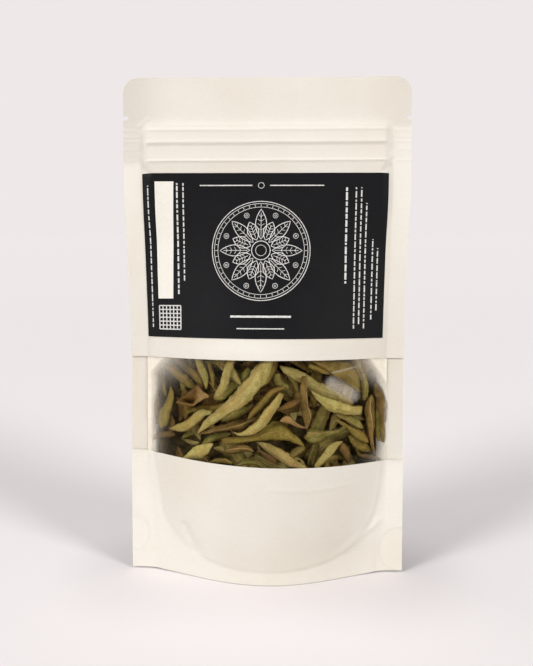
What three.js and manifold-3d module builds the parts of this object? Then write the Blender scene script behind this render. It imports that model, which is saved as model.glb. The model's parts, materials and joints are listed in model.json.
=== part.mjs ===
// A stand-up pouch of dried curry leaves.
// Two paper panels are sealed along their sides, a folded gusset makes the base, and a band of clear
// film across the front shows the leaves. A press-to-close strip runs under the sealed top edge.
// Millimetres, +Z up, front towards -Y, origin on the floor at the middle of the base.
import * as THREE from "three";
import { mergeVertices } from "three/addons/utils/BufferGeometryUtils.js";
import Module from "manifold-3d";

const wasm = await Module();
wasm.setup();

// Driving dimensions of the flat pouch
const WIDTH = 130;
const HEIGHT = 225;
const SIDE_SEAL = 8;
const CORNER_RADIUS = 7;
const PAPER = 0.6;
const FILM = 0.35;
const GAP = 0.3;
const HALF = WIDTH / 2;
const HALF_OPEN = HALF - SIDE_SEAL;
const FILM_INSET = PAPER / 2 + GAP; // from the middle of the paper to the film's outer face
const SEAM = (FILM_INSET + FILM + GAP + PAPER / 2) / 2; // half the distance between the papers' middles

// The filled shape, by height on the flat pouch: [height, value]
const BELLY = [[0, 15.2], [28, 18], [57, 19.3], [84, 18.8], [107, 15.6], [140, 8.6], [168, 3.2],
  [185, 1.9], [205, 1.7], [214, 0.5], [225, 0]];
const HALF_WIDTH = [[0, 61.8], [57, 62], [107, 62.1], [140, 63.3], [168, 64.6], [185, 65], [225, 65]];
const ROUNDNESS = [[0, 1.7], [28, 1.45], [57, 1.15], [107, 1.2], [150, 1.4], [185, 1.4], [225, 1.4]];
const FLAT_FRONT = [[0, 0], [150, 0], [182, 1], [207, 1], [225, 1]];
const MIDDLE_RISE = [[0, 0], [57, 0.6], [100, 1.6], [140, 1.1], [187, 0.2], [225, 0]];
const SIDE_LIFT = 0.8; // how far the bottom corners stand off the floor
const LIFT_FROM = 0.45; // share of the half width where that lift begins
const LIFT_TO = 90; // height where it has faded out
const SHOULDER = 3; // width of the step beside the seal at the height of the strip

// Window, label, strip, notch and gusset, on the flat pouch
const WINDOW_TOP = 98.4;
const WINDOW_BOTTOM = 53.2;
const WINDOW_SLANT = -0.03; // the window's lower edge drops towards +X
const FILM_LAP = 5;
const LABEL = { left: -56.4, right: 54.8, bottom: 107.6, top: 181.6, thick: 0.4 };
const ZIP = { bottom: 187, top: 202.3, ridge: 197.4, half: 53, flange: 0.5, flangeY: 1.85 };
const NOTCH = { height: 206.9, depth: 2.3, radius: 1 };
const GUSSET = { fold: 35, skirt: 5, skirtEnd: 32, crest: 25, half: 50.5, thick: 0.35, arch: 2.4 };
const TACK = { height: 14, radius: 7 }; // hole at each end of the gusset, where the panels are sealed together
const CUT_PAST = 3; // how far a cutter runs past the edge it cuts
const CUT_DEPTH = 12;

const PAPER_WHITE = 0xe9e2d5;
const LEAF_TONES = { light: 0x9b9a5a, green: 0x85863f, olive: 0x7b7033, brown: 0x7a5c36, rust: 0x9a6f50 };

// A smooth curve through the points of a profile, read at x
function along(profile, x) {
  let i = 1;
  while (i < profile.length - 1 && x > profile[i][0]) i += 1;
  const [[x0, y0], [x1, y1]] = [profile[i - 1], profile[i]];
  const [before, after] = [profile[Math.max(i - 2, 0)], profile[Math.min(i + 1, profile.length - 1)]];
  const span = x1 - x0;
  const m0 = ((y1 - before[1]) / (x1 - before[0])) * span;
  const m1 = ((after[1] - y0) / (after[0] - x0)) * span;
  const k = THREE.MathUtils.clamp((x - x0) / span, 0, 1);
  return y0 * (2 * k ** 3 - 3 * k ** 2 + 1) + m0 * (k ** 3 - 2 * k ** 2 + k)
    + y1 * (3 * k ** 2 - 2 * k ** 3) + m1 * (k ** 3 - k ** 2);
}

// How far the panel stands out, from 0 at the seals to 1 in the middle; s and t are the flat width and height
function bulge(s, t) {
  const u = Math.min(Math.abs(s) / HALF_OPEN, 1);
  const round = (1 - u * u) ** along(ROUNDNESS, t);
  const flat = 1 - THREE.MathUtils.smoothstep(Math.abs(s), HALF_OPEN - SHOULDER, HALF_OPEN);
  return THREE.MathUtils.lerp(round, flat, THREE.MathUtils.clamp(along(FLAT_FRONT, t), 0, 1));
}

function heightOf(s, t) {
  const lift = THREE.MathUtils.smoothstep(Math.abs(s) / HALF, LIFT_FROM, 1) * SIDE_LIFT;
  return t + lift * (1 - THREE.MathUtils.smoothstep(t, 0, LIFT_TO)) + along(MIDDLE_RISE, t) * bulge(s, t);
}

// Distance of a panel's middle surface from the plane of the seals
const depthOf = (s, t) => SEAM + along(BELLY, t) * bulge(s, t);

// A point on the front (side -1) or back (side 1) panel, moved outwards by a distance
function onPanel(s, t, side, outwards) {
  const scale = along(HALF_WIDTH, t) / HALF;
  const step = 0.05;
  const slope = (depthOf(s + step, t) - depthOf(s - step, t)) / (2 * step * scale);
  const normal = new THREE.Vector2(-slope, 1).normalize();
  return new THREE.Vector3(
    s * scale + normal.x * outwards,
    side * (depthOf(s, t) + normal.y * outwards),
    heightOf(s, t),
  );
}

// A closed sheet: point(u, v, face) gives both faces of a grid, and walls join their rims
function closedSheet(us, vs, point) {
  const rows = vs.length;
  const points = [];
  for (const face of [0, 1]) {
    for (const u of us) {
      for (const v of vs) points.push(point(u, v, face));
    }
  }
  const at = (face, i, j) => face * us.length * rows + i * rows + j;
  const triangles = [];
  const quad = (a, b, c, d) => triangles.push(a, b, c, a, c, d);
  for (let i = 0; i < us.length - 1; i += 1) {
    for (let j = 0; j < rows - 1; j += 1) {
      quad(at(1, i, j), at(1, i + 1, j), at(1, i + 1, j + 1), at(1, i, j + 1));
      const [a, b, c, d] = [at(0, i, j), at(0, i + 1, j), at(0, i + 1, j + 1), at(0, i, j + 1)];
      triangles.push(a, c, b, a, d, c);
    }
    quad(at(0, i, 0), at(0, i + 1, 0), at(1, i + 1, 0), at(1, i, 0));
    quad(at(1, i, rows - 1), at(1, i + 1, rows - 1), at(0, i + 1, rows - 1), at(0, i, rows - 1));
  }
  for (let j = 0; j < rows - 1; j += 1) {
    quad(at(1, 0, j), at(1, 0, j + 1), at(0, 0, j + 1), at(0, 0, j));
    quad(at(0, us.length - 1, j), at(0, us.length - 1, j + 1), at(1, us.length - 1, j + 1),
      at(1, us.length - 1, j));
  }
  const sheet = new THREE.BufferGeometry().setFromPoints(points);
  sheet.setIndex(triangles);
  return facingOut(sheet);
}

// Turns every triangle round if the closed surface is inside out
function facingOut(geometry) {
  const p = geometry.getAttribute("position");
  const index = geometry.getIndex().array;
  const [a, b, c] = [new THREE.Vector3(), new THREE.Vector3(), new THREE.Vector3()];
  let volume = 0;
  for (let i = 0; i < index.length; i += 3) {
    a.fromBufferAttribute(p, index[i]);
    b.fromBufferAttribute(p, index[i + 1]);
    c.fromBufferAttribute(p, index[i + 2]);
    volume += a.dot(b.cross(c));
  }
  if (volume > 0) return geometry;
  for (let i = 0; i < index.length; i += 3) [index[i], index[i + 1]] = [index[i + 1], index[i]];
  return geometry;
}

// Between three.js geometry and manifold-3d solids, for cutting and joining
function solid(geometry) {
  const bare = geometry.clone();
  for (const name of ["normal", "uv"]) bare.deleteAttribute(name);
  const merged = mergeVertices(bare, 1e-4);
  return new wasm.Manifold(new wasm.Mesh({
    numProp: 3,
    vertProperties: merged.getAttribute("position").array,
    triVerts: new Uint32Array(merged.getIndex().array),
  }));
}

function geometryOf(made) {
  const mesh = made.getMesh();
  const geometry = new THREE.BufferGeometry();
  geometry.setAttribute("position", new THREE.BufferAttribute(mesh.vertProperties, 3));
  geometry.setIndex(new THREE.BufferAttribute(mesh.triVerts, 1));
  return geometry;
}

const evenly = (from, to, steps) => Array.from({ length: steps + 1 }, (_, i) => from + ((to - from) * i) / steps);

// Grid columns, closer together where the panel leaves the side seals, and rows up to the top edge
const COLUMNS = [-65, -57, -54, -48, -39, -29, -18, -6, 6, 18, 29, 39, 48, 54, 57, 65];
const UPPER_ROWS = [120, 133, 146, 158, 170];
const TOP_ROWS = [190, 198, 206, 212, 218, HEIGHT];

const within = (lines, low, high) => [low, ...lines.filter((x) => x > low + 0.5 && x < high - 0.5), high];

function panelSheet(columns, rows, side, inner, outer, rowAt = (s, t) => t) {
  return closedSheet(columns, rows, (s, t, face) => onPanel(s, rowAt(s, t), side, face ? outer : inner));
}

function cornerOutline() {
  const inner = HALF - CORNER_RADIUS;
  const corner = new THREE.Shape();
  corner.moveTo(HALF + CUT_PAST, HEIGHT + CUT_PAST);
  corner.lineTo(inner, HEIGHT + CUT_PAST);
  corner.lineTo(inner, HEIGHT);
  corner.absarc(inner, HEIGHT - CORNER_RADIUS, CORNER_RADIUS, Math.PI / 2, 0, true);
  corner.lineTo(HALF + CUT_PAST, HEIGHT - CORNER_RADIUS);
  corner.closePath();
  return corner;
}

function notchOutline() {
  const tip = HALF - NOTCH.depth + NOTCH.radius;
  const notch = new THREE.Shape();
  notch.moveTo(HALF + CUT_PAST, NOTCH.height + NOTCH.radius);
  notch.lineTo(tip, NOTCH.height + NOTCH.radius);
  notch.absarc(tip, NOTCH.height, NOTCH.radius, Math.PI / 2, (Math.PI * 3) / 2, false);
  notch.lineTo(HALF + CUT_PAST, NOTCH.height - NOTCH.radius);
  notch.closePath();
  return notch;
}

// Takes the rounded top corners and the tear notches out of a panel
function trimmed(panel) {
  let made = solid(panel);
  for (const shape of [cornerOutline(), notchOutline()]) {
    const cutter = new THREE.ExtrudeGeometry(shape, { depth: CUT_DEPTH, bevelEnabled: false, curveSegments: 6 });
    cutter.translate(0, 0, -CUT_DEPTH / 2);
    cutter.rotateX(Math.PI / 2);
    const cut = solid(cutter);
    made = made.subtract(cut).subtract(cut.mirror([1, 0, 0]));
  }
  return geometryOf(made);
}

const windowBottom = (s) => WINDOW_BOTTOM + WINDOW_SLANT * s;

function frontUpper() {
  const rows = [WINDOW_TOP, LABEL.bottom, ...UPPER_ROWS, LABEL.top, ...TOP_ROWS];
  return trimmed(panelSheet(COLUMNS, rows, -1, -PAPER / 2, PAPER / 2));
}

function frontLower() {
  const rows = [0, 9, 19, 30, 42, WINDOW_BOTTOM];
  const slanted = (s, t) => (t * windowBottom(s)) / WINDOW_BOTTOM;
  return panelSheet(COLUMNS, rows, -1, -PAPER / 2, PAPER / 2, slanted);
}

function backPanel() {
  const rows = [0, 12, 26, 41, 57, 73, 89, 105, ...UPPER_ROWS, LABEL.top, ...TOP_ROWS];
  return trimmed(panelSheet(COLUMNS, rows, 1, -PAPER / 2, PAPER / 2));
}

function windowFilm() {
  const low = WINDOW_BOTTOM - FILM_LAP;
  const high = WINDOW_TOP + FILM_LAP;
  const slanted = (s, t) => THREE.MathUtils.lerp(windowBottom(s) - FILM_LAP, high, (t - low) / (high - low));
  return panelSheet(COLUMNS, evenly(low, high, 6), -1, -FILM_INSET - FILM, -FILM_INSET, slanted);
}

function label() {
  const rows = within(UPPER_ROWS, LABEL.bottom, LABEL.top);
  const columns = within(COLUMNS, LABEL.left, LABEL.right);
  return panelSheet(columns, rows, -1, FILM_INSET, FILM_INSET + LABEL.thick);
}

// The base: a sheet that climbs the inside of the front panel, arches over to the back panel and comes down,
// with a flat web at each end that runs into the side seal
function gusset() {
  const inset = FILM_INSET + GAP;
  const skirtTop = (s) => THREE.MathUtils.lerp(GUSSET.skirt, GUSSET.skirtEnd, (s / GUSSET.half) ** 2);
  const crest = (s) => THREE.MathUtils.lerp(GUSSET.crest, GUSSET.fold, (s / GUSSET.half) ** 2);
  const columns = within(COLUMNS, -GUSSET.half, GUSSET.half);
  const across = [-1, -0.8, -0.55, -0.3, 0, 0.3, 0.55, 0.8, 1];
  const sheet = closedSheet(columns, [-2, ...across, 2], (s, v, face) => {
    const side = v < 0 ? -1 : 1;
    const inwards = face ? inset + GUSSET.thick : inset;
    if (Math.abs(v) === 2) return onPanel(s, 0, side, -inwards);
    const foot = onPanel(s, skirtTop(s), side, -inset);
    const arch = 1 - Math.abs(v) ** GUSSET.arch;
    return new THREE.Vector3(
      foot.x,
      foot.y * Math.abs(v) - side * (inwards - inset) * Math.abs(v),
      THREE.MathUtils.lerp(foot.z, crest(s) - (inwards - inset) * 1.5, arch),
    );
  });
  const webLength = HALF - GUSSET.half + 1.5; // runs a little into the arch
  const web = new THREE.BoxGeometry(webLength, GUSSET.thick, GUSSET.fold);
  web.translate(HALF - webLength / 2, 0, GUSSET.fold / 2 + SIDE_LIFT);
  const tack = new THREE.CylinderGeometry(TACK.radius, TACK.radius, CUT_DEPTH, 20);
  tack.translate(HALF, 0, TACK.height + SIDE_LIFT);
  const narrowed = (geometry) => geometry.scale(along(HALF_WIDTH, 0) / HALF, 1, 1);
  const end = solid(narrowed(web)).subtract(solid(narrowed(tack)));
  return geometryOf(solid(sheet).add(end).add(end.mirror([1, 0, 0])));
}

// The press-to-close strips: an arrow-headed rib on the front one snaps between two hooked ribs on the back one
function zipStrip(outline) {
  const shape = new THREE.Shape(outline.map(([y, z]) => new THREE.Vector2(y, z)));
  const strip = new THREE.ExtrudeGeometry(shape, { depth: 2 * ZIP.half, bevelEnabled: false });
  return strip.rotateX(Math.PI / 2).rotateZ(Math.PI / 2).translate(-ZIP.half, 0, 0);
}

function zipMale() {
  const [back, face, z] = [-ZIP.flangeY, -ZIP.flangeY + ZIP.flange, ZIP.ridge];
  const [stem, barb] = [0.4, 0.9];
  const [neck, tip] = [0.1, 0.8];
  return zipStrip([[back, ZIP.bottom], [face, ZIP.bottom], [face, z - stem], [neck, z - stem], [neck, z - barb],
    [tip, z], [neck, z + barb], [neck, z + stem], [face, z + stem], [face, ZIP.top], [back, ZIP.top]]);
}

function zipFemale() {
  const [back, face, z] = [ZIP.flangeY, ZIP.flangeY - ZIP.flange, ZIP.ridge];
  const [outer, inner, lip] = [1.9, 1.3, 0.75];
  const [mouth, shelf] = [-0.75, -0.25];
  return zipStrip([[back, ZIP.bottom], [face, ZIP.bottom], [face, z - outer], [mouth, z - outer], [mouth, z - lip],
    [shelf, z - lip], [shelf, z - inner], [face, z - inner], [face, z + inner], [shelf, z + inner],
    [shelf, z + lip], [mouth, z + lip], [mouth, z + outer], [face, z + outer], [face, ZIP.top], [back, ZIP.top]]);
}

// The leaves that show in the window, each read from the photograph, the ones nearest the film first:
// [x, z of its middle, length, flat width, angle from +X, curl in radians, bow, tone]
const SHOWN = [
  [-14.2, 84.8, 44, 14, 45, 3.5, 0.02, "light"],
  [-3.4, 77.4, 27, 10, 39, 2.6, -0.1, "light"],
  [29.6, 81, 23, 9, -25, 1.7, 0.04, "light"],
  [15.4, 82.6, 22, 7, -86, 2.6, 0.05, "brown"],
  [-1.6, 66, 35, 13, 2, 1.9, 0.1, "olive"],
  [37, 69.6, 17, 7, -35, 2.8, 0, "olive"],
  [4.4, 59.6, 21, 9, -24, 2.8, 0, "light"],
  [-33.4, 74.6, 20, 9, 24, 2.7, 0.04, "light"],
  [-29.6, 60.6, 18, 10, 26, 2.4, 0, "light"],
  [43.6, 75.4, 22, 6, -86, 2.4, 0, "brown"],
  [25.6, 59.4, 18, 7, 43, 2.2, 0.04, "light"],
  [22.4, 88.2, 41, 11, -30, 3.4, 0, "light"],
  [1.4, 83.6, 21, 9, 38, 2, 0.05, "olive"],
  [-33, 85.4, 15, 11, 12, 1.6, 0.06, "rust"],
  [-15.6, 72.4, 24, 8, 17, 2.4, -0.05, "brown"],
  [-28.4, 97.4, 21, 8, -68, 2.6, 0, "green"],
  [-39.6, 94.6, 22, 8, -40, 2.4, 0, "olive"],
  [-18.6, 94.4, 22, 9, 64, 3, 0, "light"],
  [-44, 79.6, 19, 8, 73, 2, 0.06, "olive"],
  [-42.6, 67, 14, 7, -10, 2.2, 0, "brown"],
  [-19.4, 66.4, 17, 7, 24, 2.6, 0, "green"],
  [34, 74.6, 18, 7, -22, 2.8, 0, "green"],
  [25.4, 67.6, 17, 10, 22, 2, 0.06, "green"],
  [10.4, 73.4, 15, 6, -21, 2, -0.06, "rust"],
  [-34, 97.4, 22, 8, -47, 2.8, 0, "olive"],
  [-22.6, 98, 20, 7, -76, 2.8, 0, "olive"],
  [-31.6, 67, 16, 8, 13, 2.4, 0.06, "green"],
  [-11.4, 56.2, 14, 7, 26, 2.6, 0, "green"],
  [34.4, 95.6, 24, 12, -38, 1.2, 0, "olive"],
  [34.6, 58.6, 14, 8, -48, 2, 0, "brown"],
  [13.6, 62.4, 11, 5, 31, 2.6, 0, "green"],
  [19.4, 57.6, 12, 6, 52, 2.4, 0, "green"],
  [-14, 90.2, 22, 8, 33, 2.4, 0, "green"],
  [9.6, 81, 13, 6, 21, 2, 0, "brown"],
  [-27, 80.6, 18, 6, 13, 2.6, 0, "olive"],
  [-7, 76.6, 22, 8, 22, 2.2, 0, "green"],
  [-11, 60.4, 16, 7, 20, 2.4, 0, "brown"],
];
// A few more behind those, drawn from a seed
const BEHIND = { leaves: 9, seed: 5, half: 36, low: 50, high: 96 };
const LEAF_TEST = { first: 0.8, step: 0.6, last: 22, gap: 0.35 };
const LEAF_THICK = 0.6;
const LEAF_TWIST = 0.35; // largest turn of a blade between its middle and its tip, in radians
const TIP_WIDTH = 0.12; // share of the full width left at each end of a blade

// The heap behind them
const HEAP = { leaves: 15, seed: 11, front: 22.5, low: 34, high: 104, half: 42, core: 0.62, back: 1.2 };

// Repeatable draws between 0 and 1
function drawer(seed) {
  let state = seed;
  return () => {
    state = (state + 0x6d2b79f5) | 0;
    let mixed = Math.imul(state ^ (state >>> 15), 1 | state);
    mixed = (mixed + Math.imul(mixed ^ (mixed >>> 7), 61 | mixed)) ^ mixed;
    return ((mixed ^ (mixed >>> 14)) >>> 0) / 4294967296;
  };
}

// Y of the film's inner face over a point of the front view
function filmInside(x, z) {
  let t = z;
  let s = x;
  for (let turn = 0; turn < 3; turn += 1) {
    s = THREE.MathUtils.clamp((x * HALF) / along(HALF_WIDTH, t), -HALF, HALF);
    t = THREE.MathUtils.clamp(z - (heightOf(s, t) - t), 0, HEIGHT);
  }
  return -depthOf(s, t) + FILM_INSET + FILM;
}

// A dried leaf: a pointed blade rolled about its long axis, twisted a little and lying along the inside of the film
function curledLeaf([x, z, length, width, degrees, curl, bow], depth, steps = 6, strips = 4) {
  const angle = THREE.MathUtils.degToRad(degrees);
  const twist = LEAF_TWIST * Math.sin(x + z + degrees);
  const blade = (a) => THREE.MathUtils.lerp(Math.sin(Math.PI * a ** 0.85) ** 0.75, 1, TIP_WIDTH);
  return closedSheet(evenly(0, 1, steps), evenly(-1, 1, strips), (a, v, face) => {
    const radius = (width * blade(THREE.MathUtils.clamp(a, 1e-4, 1 - 1e-4))) / curl;
    const turn = (v * curl) / 2 + twist * (2 * a - 1);
    const shell = radius - (face ? Math.min(LEAF_THICK, radius * 0.8) : 0);
    const lengthwise = (a - 0.5) * length;
    const crosswise = shell * Math.sin(turn) + bow * length * (1 - (2 * a - 1) ** 2);
    const px = x + lengthwise * Math.cos(angle) - crosswise * Math.sin(angle);
    const pz = z + lengthwise * Math.sin(angle) + crosswise * Math.cos(angle);
    return new THREE.Vector3(px, filmInside(px, pz) + depth + radius - shell * Math.cos(turn), pz);
  });
}

// The leaf as near the film as it goes without touching what is there already
function settled(leaf, others) {
  for (let depth = LEAF_TEST.first; depth < LEAF_TEST.last; depth += LEAF_TEST.step) {
    const geometry = curledLeaf(leaf, depth);
    const body = solid(geometry);
    if (others.every((other) => body.minGap(other, 1) > LEAF_TEST.gap)) return { geometry, body };
  }
  throw new Error(`no room for the leaf at ${leaf[0]}, ${leaf[1]}`);
}

function drawnLeaves() {
  const draw = drawer(BEHIND.seed);
  const between = (low, high) => low + (high - low) * draw();
  const tones = Object.keys(LEAF_TONES);
  return Array.from({ length: BEHIND.leaves }, () => [
    between(-1, 1) * BEHIND.half, between(BEHIND.low, BEHIND.high), between(18, 30), between(7, 11),
    between(-90, 90), between(1.8, 3), between(-0.05, 0.05), tones[Math.floor(draw() * tones.length)],
  ]);
}

// The room for the heap, from a depth behind the film to the back panel
function heapRoom(front, back, shrink = 1) {
  const columns = evenly(-HEAP.half * shrink, HEAP.half * shrink, 10);
  const middle = (HEAP.low + HEAP.high) / 2;
  const rows = evenly(middle - (middle - HEAP.low) * shrink, middle + (HEAP.high - middle) * shrink, 8);
  return closedSheet(columns, rows, (x, z, face) => {
    const near = filmInside(x, z);
    const far = -near - back;
    return new THREE.Vector3(x, face ? Math.min(near + front, far - 0.8) : far, z);
  });
}

function leafHeap() {
  const draw = drawer(HEAP.seed);
  const between = (low, high) => low + (high - low) * draw();
  let heap = solid(heapRoom(HEAP.front + 4, HEAP.back + 3, HEAP.core));
  for (let i = 0; i < HEAP.leaves; i += 1) {
    const leaf = [between(-0.7, 0.7) * HEAP.half, between(HEAP.low + 8, HEAP.high - 8), between(20, 34),
      between(8, 13), between(-90, 90), between(1.8, 3), between(-0.06, 0.06)];
    heap = heap.add(solid(curledLeaf(leaf, HEAP.front + between(0, 5), 4, 2)));
  }
  const room = solid(heapRoom(HEAP.front, HEAP.back));
  const bodies = heap.intersect(room).decompose();
  return geometryOf(bodies.reduce((most, body) => (body.volume() > most.volume() ? body : most)));
}

const paper = new THREE.MeshStandardMaterial({ color: PAPER_WHITE, roughness: 0.85, metalness: 0 });
const plastic = new THREE.MeshStandardMaterial({ color: 0xdedcd6, roughness: 0.35, metalness: 0 });
const clear = new THREE.MeshStandardMaterial({
  color: 0xf4f2ee, roughness: 0.12, metalness: 0, transparent: true, opacity: 0.25,
});
const black = new THREE.MeshStandardMaterial({ color: 0x1b1c1e, roughness: 0.55, metalness: 0 });
const leafPaint = Object.fromEntries(Object.entries(LEAF_TONES).map(([tone, color]) =>
  [tone, new THREE.MeshStandardMaterial({ color, roughness: 0.8, metalness: 0, side: THREE.DoubleSide })]));

const pouch = new THREE.Group();
function piece(name, geometry, material) {
  const mesh = new THREE.Mesh(geometry, material);
  mesh.name = name;
  pouch.add(mesh);
}

piece("front_paper_upper", frontUpper(), paper);
piece("front_paper_lower", frontLower(), paper);
piece("window_film", windowFilm(), clear);
piece("back_panel", backPanel(), paper);
piece("bottom_gusset", gusset(), paper);
piece("zip_strip_front", zipMale(), plastic);
piece("zip_strip_back", zipFemale(), plastic);
piece("front_label", label(), black);
piece("leaf_heap", leafHeap(), leafPaint.olive);

const walls = pouch.children.map((mesh) => solid(mesh.geometry));
[...SHOWN, ...drawnLeaves()].forEach((leaf, i) => {
  const { geometry, body } = settled(leaf, walls);
  walls.push(body);
  piece(`leaf_${String(i + 1).padStart(2, "0")}`, geometry, leafPaint[leaf[7]]);
});

export default pouch;
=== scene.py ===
# A stand-up pouch of dried leaves: fine surfaces, materials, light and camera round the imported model.
# Lengths are millimetres here, and become metres where a mesh, a light or the camera is made.
import json
import math
import random
import bpy
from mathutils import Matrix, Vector, noise


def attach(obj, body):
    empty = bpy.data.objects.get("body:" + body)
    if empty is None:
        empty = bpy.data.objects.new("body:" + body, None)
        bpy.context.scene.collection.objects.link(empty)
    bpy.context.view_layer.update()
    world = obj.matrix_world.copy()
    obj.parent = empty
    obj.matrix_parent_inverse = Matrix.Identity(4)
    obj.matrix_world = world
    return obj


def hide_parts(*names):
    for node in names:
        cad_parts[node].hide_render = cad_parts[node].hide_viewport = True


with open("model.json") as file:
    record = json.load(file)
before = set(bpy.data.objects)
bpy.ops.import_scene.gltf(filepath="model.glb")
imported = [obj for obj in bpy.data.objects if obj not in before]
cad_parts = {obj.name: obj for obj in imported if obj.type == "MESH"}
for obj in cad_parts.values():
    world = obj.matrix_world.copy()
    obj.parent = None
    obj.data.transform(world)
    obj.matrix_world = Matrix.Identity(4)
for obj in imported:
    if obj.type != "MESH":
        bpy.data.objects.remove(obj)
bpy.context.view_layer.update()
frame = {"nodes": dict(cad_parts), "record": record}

MM = 0.001

# Driving dimensions of the flat pouch
WIDTH = 130.0
HEIGHT = 225.0
SIDE_SEAL = 8.0
CORNER_RADIUS = 7.0
HALF = WIDTH / 2
HALF_OPEN = HALF - SIDE_SEAL
SEAM = 0.775  # half the distance between the solid papers' middles at the seals
PRESSED = 0.42  # share of that distance that is left where real papers are sealed together
PRESSED_UNTIL = 1.2  # bulge in mm at which the papers are back at their full distance
SLOPE_STEP = 0.05

# The filled shape, by height on the flat pouch: (height, value)
BELLY = [(0, 15.2), (28, 18), (57, 19.3), (84, 18.8), (107, 15.6), (140, 8.6), (168, 3.2),
         (185, 1.6), (202.5, 1.35), (205.5, 0.45), (210, 0.1), (225, 0)]
HALF_WIDTH = [(0, 61.8), (57, 62), (107, 62.1), (140, 63.3), (168, 64.6), (185, 65), (225, 65)]
ROUNDNESS = [(0, 1.7), (28, 1.45), (57, 1.15), (107, 1.2), (150, 1.4), (185, 1.4), (225, 1.4)]
FLAT_FRONT = [(0, 0), (150, 0), (182, 1), (207, 1), (225, 1)]
MIDDLE_RISE = [(0, 0), (57, 0.6), (100, 1.6), (140, 1.1), (187, 0.2), (225, 0)]
SIDE_LIFT = 0.8
LIFT_FROM = 0.45
LIFT_TO = 90.0
SHOULDER = 5.0

# How far each layer stands out from the papers' middle surface: outer face, inner face
PAPER_FACES = (0.3, 0.05)
FILM_FACES = (-0.1, -0.22)
LABEL_FACES = (0.48, 0.33)
PRINT_FACES = (0.51, 0.45)
PANEL_FACES = (0.54, 0.45)
SOLID_FILM_INSIDE = 0.95  # depth of the solid film's inner face, which the leaves were laid against

WINDOW_TOP = 98.4
WINDOW_BOTTOM = 53.2
WINDOW_SLANT = -0.03
FILM_LAP = 5.0
LABEL = {"left": -56.4, "right": 54.8, "bottom": 107.6, "top": 181.6}
NOTCH = {"height": 206.9, "depth": 2.3, "radius": 1.0}
GUSSET = {"fold": 35.0, "skirt": 5.0, "skirt_end": 32.0, "crest": 25.0, "half": 50.5, "inset": 0.9,
          "thick": 0.25, "arch": 2.4}

# Relief pressed into the papers, in mm
ZIP_PROFILE = [(180, 0), (185, 0.1), (186.6, 0.35), (187.3, 0.8), (188.3, 0.3), (193.8, 0.25), (194.6, 0.5),
               (195.6, 1.12), (197.2, 0.75), (200.4, 0.6), (201.3, 0.85), (202.8, 0.1), (206, 0)]
ZIP_ENDS = (52.6, 56.2)  # where the strip's ridges fade out towards the seal
STRIP_LOW = 184.0  # where the strip begins
TOP_SEAL = 202.0  # where it ends and the sealed top band begins
CRUSH_LINES = [(203.3, 0.3), (201, 0.24), (198.1, 0.3), (196.1, 0.38), (192.5, 0.2), (187.6, 0.36)]
CRUSH_HALF = 0.38
SEAL_MARKS = {-1: (99.5, 55.4, 45.5), 1: (98.9, 51.2, 41)}
SEAL_MARK = {"height": 0.24, "half": 0.4}
U_SEAL = [(-57, 70), (-53.6, 52), (-51.4, 40), (-49.1, 27), (-44, 19), (-35.4, 13.2), (-25, 9), (-9.8, 6.8),
          (6.4, 6.4), (21.2, 7.6), (32, 10), (39.6, 14), (46, 19.5), (51.3, 28), (54.6, 42), (57, 62)]
U_STEP = 0.3
TACKS = [(-64.3, 16, 8), (63.5, 10.5, 10)]  # s, t, radius
# Unevenness of the paper: reach across and up, height where it is sealed, what an open place adds, seed
PAPER_WAVES = [(30, 36, 0.12, 0.3, 5.5), (8, 10, 0.03, 0.05, 9.5)]
# s and t of both ends, half width and height of each crease and soft fold
CREASES = [
    (-58, 202.6, -53.6, 206.4, 0.8, 0.6), (-57.4, 187.4, -53.4, 181.6, 1, -0.8),
    (56.7, 188, 52.6, 182.6, 1, -0.8), (54.4, 203.4, 57.6, 201.6, 0.8, 0.4),
    (2.4, 43.6, 20, 42.3, 0.6, 0.32), (20, 42.3, 38.3, 43.4, 0.6, 0.26),
    (-38.2, 23.4, -31.9, 13, 1.6, -0.75), (37.2, 13, 54.2, 24, 1.6, 0.5),
]
BACK_CREASES = [
    (-56, 203, -53, 206, 0.7, 0.3), (57, 187, 53, 181, 1, -0.5), (-57, 187, -53.4, 182.4, 1, -0.45),
    (-20, 118, 34, 121, 0.5, 0.16), (-42, 60, -30, 92, 3, -0.35), (38, 44, 45, 80, 3, -0.3),
    (-38, 22, -31, 12, 2.2, -0.4), (36, 13, 52, 25, 1.8, -0.3),
]

# How light the paper looks, from 0 to 1, as painted light and painted shade
PAINTED_LIGHTNESS = {"open": 0.56, "strip": 0.6, "beside": 0.85, "tacks": 0.35, "crushed": (0.4, 0.95), "top": 0.75,
             "top_ends": (0.2, 0.5)}
# Soft patches of painted highlight and painted shade on the filled paper: s, t, half width, half height,
# change
LIGHT_AND_SHADE_PATCHES = [(-12, 103.5, 24, 4, 0.6), (-31, 36, 15, 24, 0.6), (32, 16, 16, 12, -0.5), (10, 30, 10, 20, -0.15)]

# The milky film beside each seal, partly a painted reflection: how far it reaches in, the line that cuts the
# upper corner off, past which it is a painted highlight, how milky the clear film begins, how fast that fades
# in the middle and in the corners, and if the low corner is milky
FILM_MARGINS = {
    -1: {"width": 1.6, "corner": (-54, 93.2, -50.6, 96.6), "milky": 0.92, "fade": 2.3, "corner_fade": 4.6,
         "low": 0},
    1: {"width": -0.4, "corner": (49.4, 98, 57.6, 86.5), "milky": 0.86, "fade": 0.5, "corner_fade": 3.4,
        "low": 1},
}
# Painted glare on the film, drawn as milky lines
GLARES = [  # middle line, how milky, half width
    {"line": [(30.6, 88.4), (37, 84.8), (40.6, 82.6)], "milky": 0.33, "half": 4.2},
    {"line": [(31, 93), (36, 93.8), (46.5, 95.9)], "milky": 0.26, "half": 0.6},
]
SEAL_MILK = 0.05

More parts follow.
